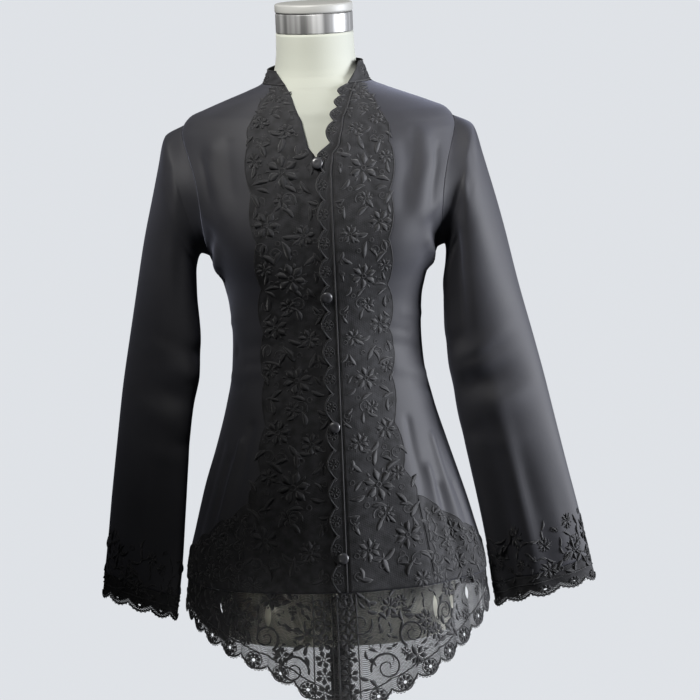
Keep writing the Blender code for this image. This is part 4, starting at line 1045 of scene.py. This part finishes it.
# columns: across, up, turn, size
SPRAY_HEIGHT = 0.130
SPRIG_TURN = 67.0       # degrees from one small sprig to the next
SPRIG_PITCH = 0.0150
SPRAY_FLOWERS = ((0.50, 0.018, 0, 1.15), (0.78, 0.084, 20, 0.95), (0.28, 0.070, 10, 0.80), (0.86, 0.030, 35, 0.60),
                 (0.55, 0.112, 0, 0.62))
SPRAY_LEAVES = (
    (0.70, 0.034, 40, 1.1), (0.70, 0.006, -30, 1.0), (0.30, 0.034, 140, 1.0), (0.28, 0.006, 215, 0.9),
    (0.50, 0.040, 80, 1.2), (0.60, 0.070, 200, 1.0), (0.86, 0.104, 70, 1.0), (0.66, 0.100, 130, 0.9),
    (0.40, 0.092, 60, 0.9), (0.18, 0.088, 110, 0.8), (0.15, 0.050, 250, 0.8), (0.88, 0.062, 300, 0.9),
    (0.92, 0.010, 80, 0.8), (0.36, 0.122, 20, 0.9), (0.14, 0.012, 70, 0.7), (0.60, 0.052, 320, 0.9),
    (0.74, 0.122, 10, 0.8), (0.94, 0.092, 120, 0.7), (0.20, 0.112, 200, 0.7), (0.46, 0.060, 160, 0.8),
)
SPRAY_CURLS = ((0.88, 0.048, 90, 1.0), (0.38, 0.108, 45, 1.1), (0.18, 0.104, 160, 0.8), (0.62, 0.050, 10, 0.9),
               (0.92, 0.116, 200, 0.8), (0.12, 0.034, 60, 0.7))
SPRAY_RINGS = ((0.12, 0.022, 0, 1), (0.12, 0.064, 0, 1), (0.12, 0.098, 0, 1), (0.68, 0.062, 0, 1),
               (0.92, 0.074, 0, 1), (0.42, 0.050, 0, 1), (0.30, 0.124, 0, 1), (0.80, 0.012, 0, 1))
FLOWER = petals(6, 0.0034, 0.0150, 0.0088)
FLOWER_HEART = ring(0.0024, 0.0016)
FLOWER_EDGE = petals(12, 0.0115, 0.0165, 0.0030, 4)
LEAF = leaf(0.0200, 0.0075, 0.0022)
CURL = curl(0.0078, 1.35, 0.0024)
SMALL_RING = ring(0.0028, 0.0014)


def sprays(side, bottom, top, near, reach):
    """Places of flowers, leaves, curls and rings, repeated up the band and scaled to its width."""
    found = {}
    starts = np.arange(bottom - 0.02, top, SPRAY_HEIGHT)
    for word, table in (("flower", SPRAY_FLOWERS), ("leaf", SPRAY_LEAVES), ("curl", SPRAY_CURLS),
                        ("ring", SPRAY_RINGS)):
        rows = np.array(table, float)[None] + np.zeros((len(starts), 1, 1))
        level = starts[:, None] + rows[..., 1]
        far = reach(level)
        wide = far - near(level)
        x = near(level) + rows[..., 0] * wide
        size = rows[..., 3] * np.clip(wide / 0.078, 0.62, 1.12)
        turn = rows[..., 2] + 25 * np.sin(37 * level + 3 * side)
        keep = (level > bottom + 0.006) & (level < top - 0.004)
        made = np.stack([side * x, level, turn, size, np.full_like(x, side)], axis=-1)
        found[word] = made[keep]
    return found


def spray_runs(place, found):
    """Thread runs of one set of sprays."""
    runs = []
    for shape, word, rise in ((FLOWER, "flower", 0.0007), (FLOWER_EDGE, "flower", 0.0005),
                              (FLOWER_HEART, "flower", 0.0008), (LEAF, "leaf", 0.0006), (CURL, "curl", 0.0006),
                              (SMALL_RING, "ring", 0.0006)):
        runs.append(thread_runs(place, *sprinkled(shape, found[word]), rise))
    return runs


net_look = net_group()
stitch_look = stitch_group()
thread = thread_look()
dark_ground = lace_ground_look("lace_ground", False)
band_levels = np.concatenate([np.linspace(HEM_LEVEL + 0.001, SHOULDER_LEVEL, 230),
                              np.linspace(SHOULDER_LEVEL, NECK_LEVEL - 0.001, 40)[1:]])
for side, word, cad in ((1, "left", "front_lace_left"), (-1, "right", "front_lace_right")):
    if side > 0:
        angles = spread(opening_edge(band_levels, OVERLAP_EDGE, EDGING_WIDTH + 0.0010),
                        angle_at(band_reach(band_levels), band_levels), 30)
    else:
        angles = spread(angle_at(-band_reach(band_levels), band_levels),
                        -opening_edge(band_levels, -OVERLAP_EDGE + 0.0012, 0.0006), 30)
    grid = np.repeat(band_levels[:, None], 30, axis=1)
    low = (overlap_lift(angles, grid) if side > 0 else 0.0) + CLOTH + LAY
    ground = shell(word + "_front_lace", cloth(angles, grid, low + LACE), cloth(angles, grid, low), dark_ground)
    place = front_place(side)
    near_middle = (lambda level: edge_distance(level, OVERLAP_EDGE) + EDGING_WIDTH) if side > 0 else (
        lambda level: edge_distance(level, -OVERLAP_EDGE) + 0.0015)
    runs = spray_runs(place, sprays(side, HEM_LEVEL, NECK_LEVEL, near_middle, band_reach))
    outline = np.linspace(HEM_LEVEL + 0.002, NECK_LEVEL - 0.003, 260)[None]
    runs.append(thread_runs(place, side * (band_reach(outline) - 0.0008), outline, 0.0011, 0.0006))
    motifs = joined_threads(word + "_front_motifs", runs, thread)
    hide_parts(cad)


# Edging of the left front: a narrow scalloped strip of the same lace that covers the fabric's edge from neck to hem.
# Its tips reach over the right front, with a small rosette in each scallop and a thick cord round it.
SCALLOPS_UP = 20


def scalloped(share, count):
    """Depth of a scalloped edge, 1 at each tip and 0 between them: |sin(pi n s)|^0.8."""
    return np.abs(np.sin(np.pi * share * count)) ** 0.8


def edging_level(share):
    """Level along the edging, from just over the hem to just under the neck seam."""
    return HEM_LEVEL + 0.001 + (NECK_LEVEL - 0.002 - HEM_LEVEL) * share


edging_shares = np.linspace(0, 1, SCALLOPS_UP * 12 + 1)
edging_levels = edging_level(edging_shares)
tip_distance = edge_distance(edging_levels, OVERLAP_EDGE) - 0.0085 * scalloped(edging_shares, SCALLOPS_UP)
edging_angles = spread(angle_at(tip_distance, edging_levels),
                       opening_edge(edging_levels, OVERLAP_EDGE, EDGING_WIDTH), 9)
edging_grid = np.repeat(edging_levels[:, None], 9, axis=1)
edging_low = overlap_lift(edging_angles, edging_grid) + CLOTH + LAY
edging = shell("edging", cloth(edging_angles, edging_grid, edging_low + LACE),
               cloth(edging_angles, edging_grid, edging_low), dark_ground)
left_place = front_place(1)
middle_share = (np.arange(SCALLOPS_UP) + 0.5) / SCALLOPS_UP
rosette_level = edging_level(middle_share)
rosette_x = edge_distance(rosette_level, OVERLAP_EDGE) - 0.0012
each = np.ones(SCALLOPS_UP)
rosettes = np.stack([rosette_x, rosette_level, 0 * each, each, each], axis=1)
gap_level = edging_level(np.arange(1, SCALLOPS_UP) / SCALLOPS_UP)
gap_x = edge_distance(gap_level, OVERLAP_EDGE) + 0.0035
each = np.ones(len(gap_x))
between = np.stack([gap_x, gap_level, 200.0 * each, 0.42 * each, each], axis=1)
edging_runs = [
    thread_runs(left_place, (tip_distance + 0.0010)[None], edging_levels[None], 0.0024, 0.0013),
    thread_runs(left_place, (edge_distance(edging_levels, OVERLAP_EDGE) + EDGING_WIDTH - 0.001)[None],
                edging_levels[None], 0.0018, 0.0010),
    thread_runs(left_place, *sprinkled(petals(7, 0.0014, 0.0062, 0.0034, 6), rosettes), 0.0010),
    thread_runs(left_place, *sprinkled(ring(0.0013, 0.0010, 10), rosettes), 0.0012),
    thread_runs(left_place, *sprinkled(ring(0.0068, 0.0012, 17), rosettes), 0.0008),
    thread_runs(left_place, *sprinkled(LEAF, between), 0.0008),
]
edging_motifs = joined_threads("edging_motifs", edging_runs, thread)
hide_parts("edging_left")


# Collar: a low stand of the lace round the back of the neck, its ends running to a point over each neck edge.
COLLAR_LEVEL = 1.502
COLLAR_FOOT = NECK_LEVEL + 3 * SEAM
COLLAR_FALL = (0.003, 0.010)    # how much lower the top is at the left and right end than behind
COLLAR_COLUMNS = 150
COLLAR_RADIUS = 0.058


def collar_place(angle, level, out):
    """Place on the collar, just over its outer face."""
    return cloth(angle, level, CLOTH - 0.0001 + out)


def collar_top(share):
    """Top of the collar at a share of the way from its left end, round the back, to its right end."""
    return COLLAR_LEVEL - COLLAR_FALL[0] * (1 - eased(share, 0.2, 0.5)) - COLLAR_FALL[1] * eased(share, 0.40, 0.85)


collar_shares = np.linspace(0, 1, COLLAR_COLUMNS)
collar_rise = np.linspace(0, 1, 14)[:, None]
collar_grid = COLLAR_FOOT + (collar_top(collar_shares) - COLLAR_FOOT) * collar_rise
collar_angles = spread(angle_at(curve(NECK_EDGE, 1, collar_grid[:, 0]), collar_grid[:, 0]),
                       360 - angle_at(curve(NECK_EDGE, 1, collar_grid[:, -1]), collar_grid[:, -1]), COLLAR_COLUMNS)
collar = shell("collar_stand", cloth(collar_angles, collar_grid, CLOTH), cloth(collar_angles, collar_grid, 0.0),
               dark_ground)
collar_scale = math.degrees(1 / COLLAR_RADIUS)
turns = np.linspace(72, 288, 14)
room = (collar_top((turns - 60) / 240) - COLLAR_FOOT) / (COLLAR_LEVEL - COLLAR_FOOT)
collar_flowers = np.stack([turns / collar_scale, COLLAR_FOOT + 0.0126 * room, np.arange(14) * 20.0, 0.54 * room,
                           np.ones(14)], axis=1)
collar_leaves = np.stack([(turns - 8) / collar_scale, COLLAR_FOOT + 0.0086 * room, np.arange(14) % 2 * 60.0 + 30,
                          0.42 * room, np.ones(14)], axis=1)


def round_collar(run, level, out):
    """Place on the collar by length round the neck instead of angle."""
    return collar_place(run * collar_scale, level, out)


collar_runs = []
for row, above in ((0, 0.0016), (-1, -0.0010)):
    collar_runs.append(thread_runs(collar_place, collar_angles[row, 1:-1][None],
                                   (collar_grid[row, 1:-1] + above)[None], 0.0016, 0.0008))
for shape, rows, rise in ((FLOWER, collar_flowers, 0.0009), (FLOWER_HEART, collar_flowers, 0.0010),
                          (LEAF, collar_leaves, 0.0008)):
    collar_runs.append(thread_runs(round_collar, *sprinkled(shape, rows), rise))
collar_motifs = joined_threads("collar_motifs", collar_runs, thread)
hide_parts("collar")


# Lace over the hem of each front: more of the band, running out to the side seam and rising towards the opening.
BORDER_LAY = 0.0006     # height of its ground over the fabric
BORDER_RUN = 0.235      # metres along the hem for a whole share of the panel


def border_angle(side, share, level):
    """Angle at a share of the way from the opening edge to the side seam."""
    middle = angle_at(edge_distance(level, OVERLAP_EDGE if side > 0 else -UNDERLAP), level)
    return side * (middle + (90 - side_cut(level) - middle) * share)


def border_place(side):
    """Place on the hem border: share of the way to the side, and level, just over the lace."""
    def place(share, level, out):
        angle = border_angle(side, share, level)
        return cloth(angle, level, CLOTH + BORDER_LAY + LACE + out)
    return place


border_shares = np.linspace(0.43, 0.99, 60)
border_along = (border_shares - 0.43) / 0.56
border_top = 0.030 + 0.078 * (1 - border_along) ** 1.25 + 0.007 * np.abs(np.sin(border_along * math.pi * 4)) ** 0.7
border_levels = HEM_LEVEL + 0.001 + np.linspace(0, 1, 40)[:, None] * border_top
for side, word, cad in ((1, "left", "border_lace_left"), (-1, "right", "border_lace_right")):
    shares = np.repeat(border_shares[None], 40, axis=0)
    levels = border_levels
    if side < 0:
        shares, levels = shares[:, ::-1], levels[:, ::-1]
    angles = border_angle(side, shares, levels)
    ground = shell(word + "_hem_border", cloth(angles, levels, CLOTH + BORDER_LAY + LACE),
                   cloth(angles, levels, CLOTH + BORDER_LAY), dark_ground)
    place = border_place(side)
    steps, ups = np.meshgrid(np.arange(0.455, 0.97, 0.058), np.arange(0.008, 0.10, 0.0135))
    ups = ups + 0.005 * np.sin(steps * 70)
    room = np.interp(steps, border_shares, border_top)
    keep = ups < room - 0.005
    spots = np.stack([steps[keep], HEM_LEVEL + ups[keep]], axis=1)
    number = np.arange(len(spots))

    def run_place(run, level, out, place=place):
        """The same place by length along the hem."""
        return place(run / BORDER_RUN, level, out)

    found = {}
    for kind, size, at in (("flower", 0.66, spots[number % 4 == 0]),
                           ("leaf", 0.62, np.concatenate([spots, spots[number % 4 != 0]])),
                           ("curl", 0.70, spots[number % 4 == 2]), ("ring", 0.9, spots[number % 2 == 1])):
        count = np.arange(len(at))
        sizes = size * (0.85 + 0.25 * np.sin(count * 5.0))
        found[kind] = np.stack([at[:, 0] * BORDER_RUN, at[:, 1], count * SPRIG_TURN + 20, sizes, np.ones(len(at))],
                               axis=1)
    runs = spray_runs(run_place, found)
    top_line = (HEM_LEVEL + 0.0005 + border_top)[None]
    runs.append(thread_runs(place, border_shares[None], top_line, 0.0010, 0.0005))
    motifs = joined_threads(word + "_border_motifs", runs, thread)
    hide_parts(cad)


# Lace below the hem: a deep edging of sheer net, falling to a point in front, sewn to the hem of all three panels.
# It ends in scallops, each with a rosette round an eyelet, and has large curls beside the opening.
SCALLOP_DEPTH = 0.010
# columns: angle, level
HEM = np.array([
    (-181.0, 0.751), (-100.0, 0.752), (-85.0, 0.750), (-70.0, 0.742), (-55.0, 0.7245), (-40.0, 0.7075),
    (-30.0, 0.6945), (-20.0, 0.6785), (-10.0, 0.660), (0.0, 0.642), (10.0, 0.648), (20.0, 0.6605),
    (30.0, 0.676), (40.0, 0.690), (55.0, 0.7115), (70.0, 0.736), (85.0, 0.748), (100.0, 0.751), (181.0, 0.751),
])
HEM_RADIUS = 0.185      # metres of hem for a radian
HEM_WALL = 0.0004       # wall of the sheer net
HEM_ROWS = 60
SHADE_FILL_FROM, SHADE_FILL_TO = (43.0, 44.5), (82.0, 86.0)   # degrees between which the right hem lace's net is filled in solid black: painted shade where that side of the hem lies in shadow
# columns: angle, height share, half width, half height share
sheer_net = lace_ground_look("sheer_net", True, 0.15)
seam_angle = float(np.degrees(SEAM / 2 / 0.19))


def hem_edge(angle):
    """Level of the middle of the scalloped edge."""
    return curve(HEM, 1, wrapped(angle))


def hem_place(lifted):
    """Place on the hem lace: run along the hem and level, just over its outer face."""
    def place(run, level, out):
        angle = np.degrees(run / HEM_RADIUS)
        lift = OVERLAP_LIFT * (1 - eased(np.abs(wrapped(angle)), 9.0, 30.0)) if lifted else 0.0
        return cloth(angle, level, lift + HEM_WALL + out)
    return place


def hem_lace(name, cad, first, last, count, lifted, slots):
    """Net of one third of the hem with its gaps, and on it the scallop cord, rosettes, curls and sprigs."""
    share = np.linspace(0, 1, count * 16 + 1)
    angle = first + (last - first) * share
    edge = hem_edge(angle)
    bottom = edge - SCALLOP_DEPTH * (scalloped(share, count) - 0.5)
    rise = np.linspace(0, 1, HEM_ROWS)[:, None]
    level = bottom + (HEM_LEVEL - SEAM - bottom) * rise
    angles = np.repeat(angle[None], HEM_ROWS, axis=0)
    lift = OVERLAP_LIFT * (1 - eased(np.abs(wrapped(angles)), 9.0, 30.0)) if lifted else 0.0
    ground = shell(name, cloth(angles, level, lift + HEM_WALL), cloth(angles, level, lift), sheer_net)
    centre_angle = first + (last - first) * (np.arange(count) + 0.5) / count
    centre = np.stack([np.radians(centre_angle) * HEM_RADIUS, hem_edge(centre_angle) + 0.0052], axis=1)
    run = np.radians(angles) * HEM_RADIUS
    away = np.full(run.shape, 9.0)
    for x, z in centre:
        away = np.minimum(away, np.hypot(run - x, level - z) / 0.0024 - 1)
    slot_spots = []
    for slot_angle, share_up, half_width, half_height in slots:
        low = hem_edge(slot_angle) + 0.015
        span = HEM_LEVEL - low
        x, z, tall = math.radians(slot_angle) * HEM_RADIUS, low + span * share_up, span * half_height
        away = np.minimum(away, np.abs(run - x) / half_width + ((level - z) / tall) ** 2 - 1)
        slot_spots.append((x, z, tall))
    mark(ground, "gap", away)
    # painted shade: the right hem lace's net is filled in solid black between these angles, above the scallops
    painted_shade_fill = (eased(-angles, *SHADE_FILL_FROM) - eased(-angles, *SHADE_FILL_TO)) * eased(level - hem_edge(angles), 0.0060, 0.0100)
    mark(ground, "close", painted_shade_fill if name == "right_hem_lace" else 0 * painted_shade_fill)
    place = hem_place(lifted)
    ones = np.ones(count)
    rosette_rows = np.stack([centre[:, 0], centre[:, 1], 0 * ones, ones, ones], axis=1)
    line = np.radians(angle)[None] * HEM_RADIUS
    runs = [
        thread_runs(place, line, (bottom + 0.0011)[None], 0.0026, 0.0013),
        thread_runs(place, line, (edge + 0.0190 - 0.0020 * scalloped(share, count))[None], 0.0020, 0.0010),
        thread_runs(place, *sprinkled(petals(8, 0.0030, 0.0092, 0.0050, 6), rosette_rows), 0.0010),
        thread_runs(place, *sprinkled(ring(0.0028, 0.0013, 13), rosette_rows), 0.0012),
        thread_runs(place, *sprinkled(ring(0.0102, 0.0016, 21), rosette_rows), 0.0009),
    ]
    loops = (np.arange(count * 8) + 0.5) / (count * 8)
    loop_angle = first + (last - first) * loops
    loop_level = hem_edge(loop_angle) - SCALLOP_DEPTH * (scalloped(loops, count) - 0.5) - 0.0004
    many = np.ones(len(loops))
    runs.append(thread_runs(place, *sprinkled(ring(0.0014, 0.0009, 8), np.stack(
        [np.radians(loop_angle) * HEM_RADIUS, loop_level, 0 * many, many, many], axis=1)), 0.0007))
    if name != "back_hem_lace":
        runs += front_hem_runs(place, first, last, slot_spots)
    else:
        runs += sprig_runs(place, first, last, slot_spots, [])
    motifs = joined_threads(name + "_motifs", runs, thread)
    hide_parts(cad)


def sprig_sets(rows, flowers_every):
    """Sprigs sorted by kind: leaves at each place, two at most of them, and rings, flowers and curls at some."""
    number = np.arange(len(rows))
    return {"leaf": np.concatenate([rows, rows[number % 3 > 0] + np.array([0, 0, 150.0, 0, 0])]),
            "ring": rows[number % 3 == 0] + np.array([0.004, 0.004, 0, 0.2, 0]),
            "flower": rows[number % flowers_every == 0], "curl": rows[number % 4 == 1]}


def sprig_runs(place, first, last, slot_spots, taken):
    """Small leaves, rings and flowers on a staggered lattice over the net, clear of gaps and of larger motifs."""
    left_end, right_end = math.radians(first) * HEM_RADIUS + 0.010, math.radians(last) * HEM_RADIUS - 0.004
    x, k = np.meshgrid(np.arange(left_end, right_end, SPRIG_PITCH), np.arange(12))
    z = 0.7775 - 0.0125 * k - 0.006 * (np.round(x / SPRIG_PITCH) % 2)
    x, z = x.ravel(), z.ravel()
    keep = z > hem_edge(np.degrees(x / HEM_RADIUS)) + 0.0245
    for px, pz, tall in slot_spots:
        keep &= (np.abs(x - px) > 0.0095) | (np.abs(z - pz) > tall * 1.05)
    for px, pz, radius in taken:
        keep &= np.hypot(x - px, z - pz) > radius
    x, z = x[keep], z[keep]
    number = np.arange(len(x))
    turn = SPRIG_TURN * number + 30 * np.sin(90 * x)
    rows = np.stack([x, z, turn, 0.55 + 0.20 * np.sin(7.0 * number), np.ones(len(x))], axis=1)
    return spray_runs(place, sprig_sets(rows, 5))


def front_hem_runs(place, first, last, slot_spots):
    """The front's larger curls and the strip of rosettes beside the opening, then sprigs in what is left."""
    side = 1.0 if last > 45 else -1.0
    strip_x = 0.011 if side > 0 else -0.018
    strip_z = np.arange(0.664, 0.785, 0.0205)
    each = np.ones(len(strip_z))
    strip = np.stack([strip_x * each, strip_z, 20 * np.arange(len(strip_z)), 0.72 * each, each], axis=1)
    lines = np.linspace(0.655, 0.783, 40)[None]
    big = np.array([(side * 0.036, 0.688, 10, 1.0, side), (side * 0.082, 0.716, 60, 0.85, side),
                    (side * 0.040, 0.752, 200, 0.75, side), (side * 0.130, 0.744, 30, 0.70, side)])
    middles = [(side * 0.055, 0.690, 0.023), (side * 0.087, 0.730, 0.018), (side * 0.028, 0.748, 0.016),
               (side * 0.141, 0.750, 0.013), (strip_x, 0.70, 0.013), (strip_x, 0.72, 0.013), (strip_x, 0.74, 0.013),
               (strip_x, 0.76, 0.013), (strip_x, 0.68, 0.013)]
    runs = [
        thread_runs(place, *sprinkled(curl(0.0200, 1.6, 0.0034, 40), big), 0.0012),
        thread_runs(place, *sprinkled(curl(0.0240, 0.55, 0.0022, 24), big + np.array([0, -0.002, 12, 0, 0])), 0.0009),
        thread_runs(place, *sprinkled(FLOWER, strip), 0.0010),
        thread_runs(place, *sprinkled(ring(0.0030, 0.0016), strip), 0.0011),
    ]
    for beside in (-0.0115, 0.0115):
        runs.append(thread_runs(place, np.full_like(lines, strip_x + beside), lines, 0.0020, 0.0010))
    return runs + sprig_runs(place, first, last, slot_spots, middles)


hem_lace("left_hem_lace", "hem_lace_left", -2.0, 90 - seam_angle, 9, True,
         [(38.85, 0.66, 0.0040, 0.20), (49.06, 0.66, 0.0036, 0.19), (59.27, 0.62, 0.0028, 0.17)])
hem_lace("right_hem_lace", "hem_lace_right", -90 + seam_angle, 4.0, 9, False,
         [(-27.3, 0.66, 0.0042, 0.20), (-48.1, 0.66, 0.0042, 0.20)])
hem_lace("back_hem_lace", "hem_lace_back", 90 + seam_angle, 270 - seam_angle, 15, False, [])


# Lace at the cuffs: a scalloped end in two halves round each wrist, under motifs that run up over the fabric.
def cuff_lace(side, word, table, half, first, last, count):
    """Half of a cuff: its ground with eyelets, the scallop cord, rosettes, and sprigs running up over the sleeve."""
    share = np.linspace(0, 1, count * 14 + 1)
    around = first + (last - first) * share
    end = len(table) - 1
    bottom = end - 0.10 + 0.22 * (scalloped(share, count) - 0.5)
    along = bottom + (CUFF_ROW + 0.012 - bottom) * np.linspace(0, 1, 24)[:, None]
    turns = np.repeat(around[None], 24, axis=0)
    if side > 0:
        turns, along = turns[:, ::-1], along[:, ::-1]
    outer = sleeve_point(table, along, turns, 0.0)
    inner = sleeve_point(table, along, turns, -LACE)
    ground = shell(f"cuff_lace_{word}_{half}_net", outer, inner, cuff_net)
    one_row = sleeve_point(table, end - 0.5, 90.0, 0) - sleeve_point(table, end - 1.5, 90.0, 0)
    row_length = float(np.linalg.norm(one_row))
    girth = float(lengths(outer[12][None], 1).max())
    per_turn = girth / abs(last - first)
    centre = np.stack([first + (last - first) * (np.arange(count) + 0.5) / count, np.full(count, end - 0.26)], axis=1)
    away = np.full(turns.shape, 9.0)
    for turn, place_along in centre:
        away = np.minimum(away, np.hypot((turns - turn) * per_turn, (along - place_along) * row_length) / 0.0020 - 1)
    over_end = bottom if side < 0 else bottom[::-1]
    mark(ground, "gap", away)
    mark(ground, "close", eased((over_end - along) * row_length, 0.0050, 0.0085))

    def place(run, height, out):
        """Run round the cuff and height over its end, in metres."""
        return sleeve_point(table, end - height / row_length, first + run / per_turn, 0.0003 + out)

    run = share[None] * (last - first) * per_turn
    ones = np.ones(count)
    rows = np.stack([(centre[:, 0] - first) * per_turn, (end - centre[:, 1]) * row_length, 0 * ones, 0.8 * ones,
                     ones], axis=1)
    runs = [
        thread_runs(place, run, ((end - bottom) * row_length)[None] + 0.0008, 0.0024, 0.0012),
        thread_runs(place, run, np.full_like(run, 0.0235), 0.0018, 0.0009),
        thread_runs(place, *sprinkled(petals(8, 0.0026, 0.0086, 0.0044, 6), rows), 0.0009),
        thread_runs(place, *sprinkled(ring(0.0025, 0.0012, 12), rows), 0.0011),
    ]
    loops = (np.arange(count * 6) + 0.5) / (count * 6)
    loop_height = (0.10 - 0.22 * (scalloped(loops, count) - 0.5)) * row_length - 0.0004
    many = np.ones(len(loops))
    runs.append(thread_runs(place, *sprinkled(ring(0.0013, 0.0008, 8), np.stack(
        [loops * (last - first) * per_turn, loop_height, 0 * many, many, many], axis=1)), 0.0006))
    x, k = np.meshgrid(np.arange(0.008, girth - 0.004, SPRIG_PITCH), np.arange(4))
    z = 0.031 + 0.0135 * k + 0.006 * (np.round(x / SPRIG_PITCH) % 2)
    x, z = x.ravel(), z.ravel()
    number = np.arange(len(x))
    sprigs = np.stack([x, z, SPRIG_TURN * number, 0.56 + 0.16 * np.sin(7.0 * number), np.ones(len(x))], axis=1)
    runs += spray_runs(place, sprig_sets(sprigs, 4))
    motifs = joined_threads(f"cuff_lace_{word}_{half}_motifs", runs, thread)
    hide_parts(f"cuff_lace_{word}_{half}")


cuff_net = lace_ground_look("cuff_net", True, 1.3)
for side, word, table in ((1, "left", SLEEVE_LEFT), (-1, "right", SLEEVE_RIGHT)):
    cuff_lace(side, word, table, "front", 0.5, 179.5, 5)
    cuff_lace(side, word, table, "back", 180.5, 359.5, 5)


# Buttons: four small domed buttons of glossy dark grey shell on the edging, each with a rim and a shallow dish.
BUTTON_RADIUS = 0.0070
BUTTON_HEIGHT = 0.0035
# columns: distance, level
BUTTONS = ((-0.0030, 1.3110), (0.0020, 1.1490), (0.0050, 0.9850), (0.0090, 0.8270))
shell_grey, _, shell_shader = plain_material("button_shell", (0.05, 0.05, 0.055), 0.34)
finish_surface(shell_grey, 700.0, 0.00003, (0.020, 0.020, 0.022), (0.050, 0.050, 0.055))
shell_shader.inputs["Coat Weight"].default_value = 0.15
dome = np.array([(0.93, 0.0), (1.0, 0.10), (1.0, 0.42), (0.97, 0.58), (0.90, 0.72), (0.80, 0.84), (0.66, 0.94),
                 (0.50, 1.0), (0.34, 1.0), (0.20, 0.96), (0.06, 0.94)])
for number, (distance, level) in enumerate(BUTTONS, 1):
    angle = angle_at(distance, level)
    seat = cloth(angle, level, float(overlap_lift(angle, level)) + CLOTH + LAY + LACE + 0.0009)
    normal = outward(angle, level)
    side_line = np.cross((0.0, 0.0, 1.0), normal)
    side_line /= np.linalg.norm(side_line)
    frame_lines = np.stack([side_line, np.cross(normal, side_line), normal])
    turn = np.arange(40) * 2 * math.pi / 40
    radius, height = BUTTON_RADIUS * dome[:, :1], np.broadcast_to(BUTTON_HEIGHT * dome[:, 1:], (len(dome), 40))
    local = np.stack([radius * np.cos(turn), radius * np.sin(turn), height], axis=-1)
    button = closed_stack(f"button_shell_{number}", local @ frame_lines + seat, shell_grey)
    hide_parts(f"button_{number}")


# Floor and light: a plain pale floor and room, a broad soft light on the wearer's left, a soft one high in front,
# and a faint narrow one low in front, for the hem.
floor_look = bpy.data.materials.new("pale_floor")
floor_look.use_nodes = True
floor_tree = floor_look.node_tree
floor_shader = floor_tree.nodes["Principled BSDF"]
floor_shader.inputs["Base Color"].default_value = (0.05, 0.052, 0.054, 1.0)
floor_shader.inputs["Roughness"].default_value = 0.9
seen = node(floor_tree, "ShaderNodeLightPath")
glow = node(floor_tree, "ShaderNodeEmission", [("Color", (0.752, 0.776, 0.812, 1.0)), ("Strength", 1.14)])
share = maths(floor_tree, "MULTIPLY", seen.outputs["Is Camera Ray"], 0.86)
mixed = node(floor_tree, "ShaderNodeMixShader", [(0, share), (1, floor_shader.outputs[0]), (2, glow.outputs[0])])
floor_tree.links.new(mixed.outputs[0], floor_tree.nodes["Material Output"].inputs["Surface"])
floor_mesh = bpy.data.meshes.new("floor")
floor_mesh.from_pydata([(-40.0, -40.0, 0.0), (40.0, -40.0, 0.0), (40.0, 40.0, 0.0), (-40.0, 40.0, 0.0)], [],
                       [(0, 1, 2, 3)])
floor_mesh.materials.append(floor_look)
floor = bpy.data.objects.new("floor", floor_mesh)
scene.collection.objects.link(floor)
floor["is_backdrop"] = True


def soft_light(name, place, aim, size, power, colour, spread_angle=180.0):
    """Square soft light at a place, facing a point; the camera doesn't see it."""
    lamp = bpy.data.lights.new(name, "AREA")
    lamp.size = size
    lamp.spread = math.radians(spread_angle)
    lamp.energy = power
    lamp.color = colour
    made = bpy.data.objects.new(name, lamp)
    toward = np.array(aim) - np.array(place)
    z = -toward / np.linalg.norm(toward)
    x = np.cross((0.0, 0.0, 1.0), z)
    x /= np.linalg.norm(x)
    made.matrix_world = Matrix([[*row, p] for row, p in zip(np.column_stack([x, np.cross(z, x), z]), place)]
                               + [[0, 0, 0, 1]])
    made.visible_camera = False
    scene.collection.objects.link(made)


soft_light("window", (2.70, -0.24, 1.25), (0.0, 0.0, 1.0), 1.3, 205.0, (0.93, 0.95, 1.0))
soft_light("ceiling", (-0.55, -0.9, 2.45), (0.0, 0.0, 1.66), 0.6, 5.2, (1.0, 0.99, 0.96), 46.0)
soft_light("low fill", (-0.7, -2.4, 0.70), (-0.02, 0.0, 0.62), 0.2, 0.20, (1.0, 1.0, 0.97), 9.0)
world = bpy.data.worlds.new("room")
scene.world = world
world.use_nodes = True
room_tree = world.node_tree
room = room_tree.nodes["Background"]
room.inputs[0].default_value = (0.752, 0.776, 0.812, 1.0)
ray = node(room_tree, "ShaderNodeLightPath")
strength = maths(room_tree, "MULTIPLY_ADD", ray.outputs["Is Camera Ray"], 0.994, 0.006)
strength = maths(room_tree, "MULTIPLY_ADD", ray.outputs["Is Glossy Ray"], 0.05, strength)
room_tree.links.new(strength, room.inputs[1])

low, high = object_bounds()
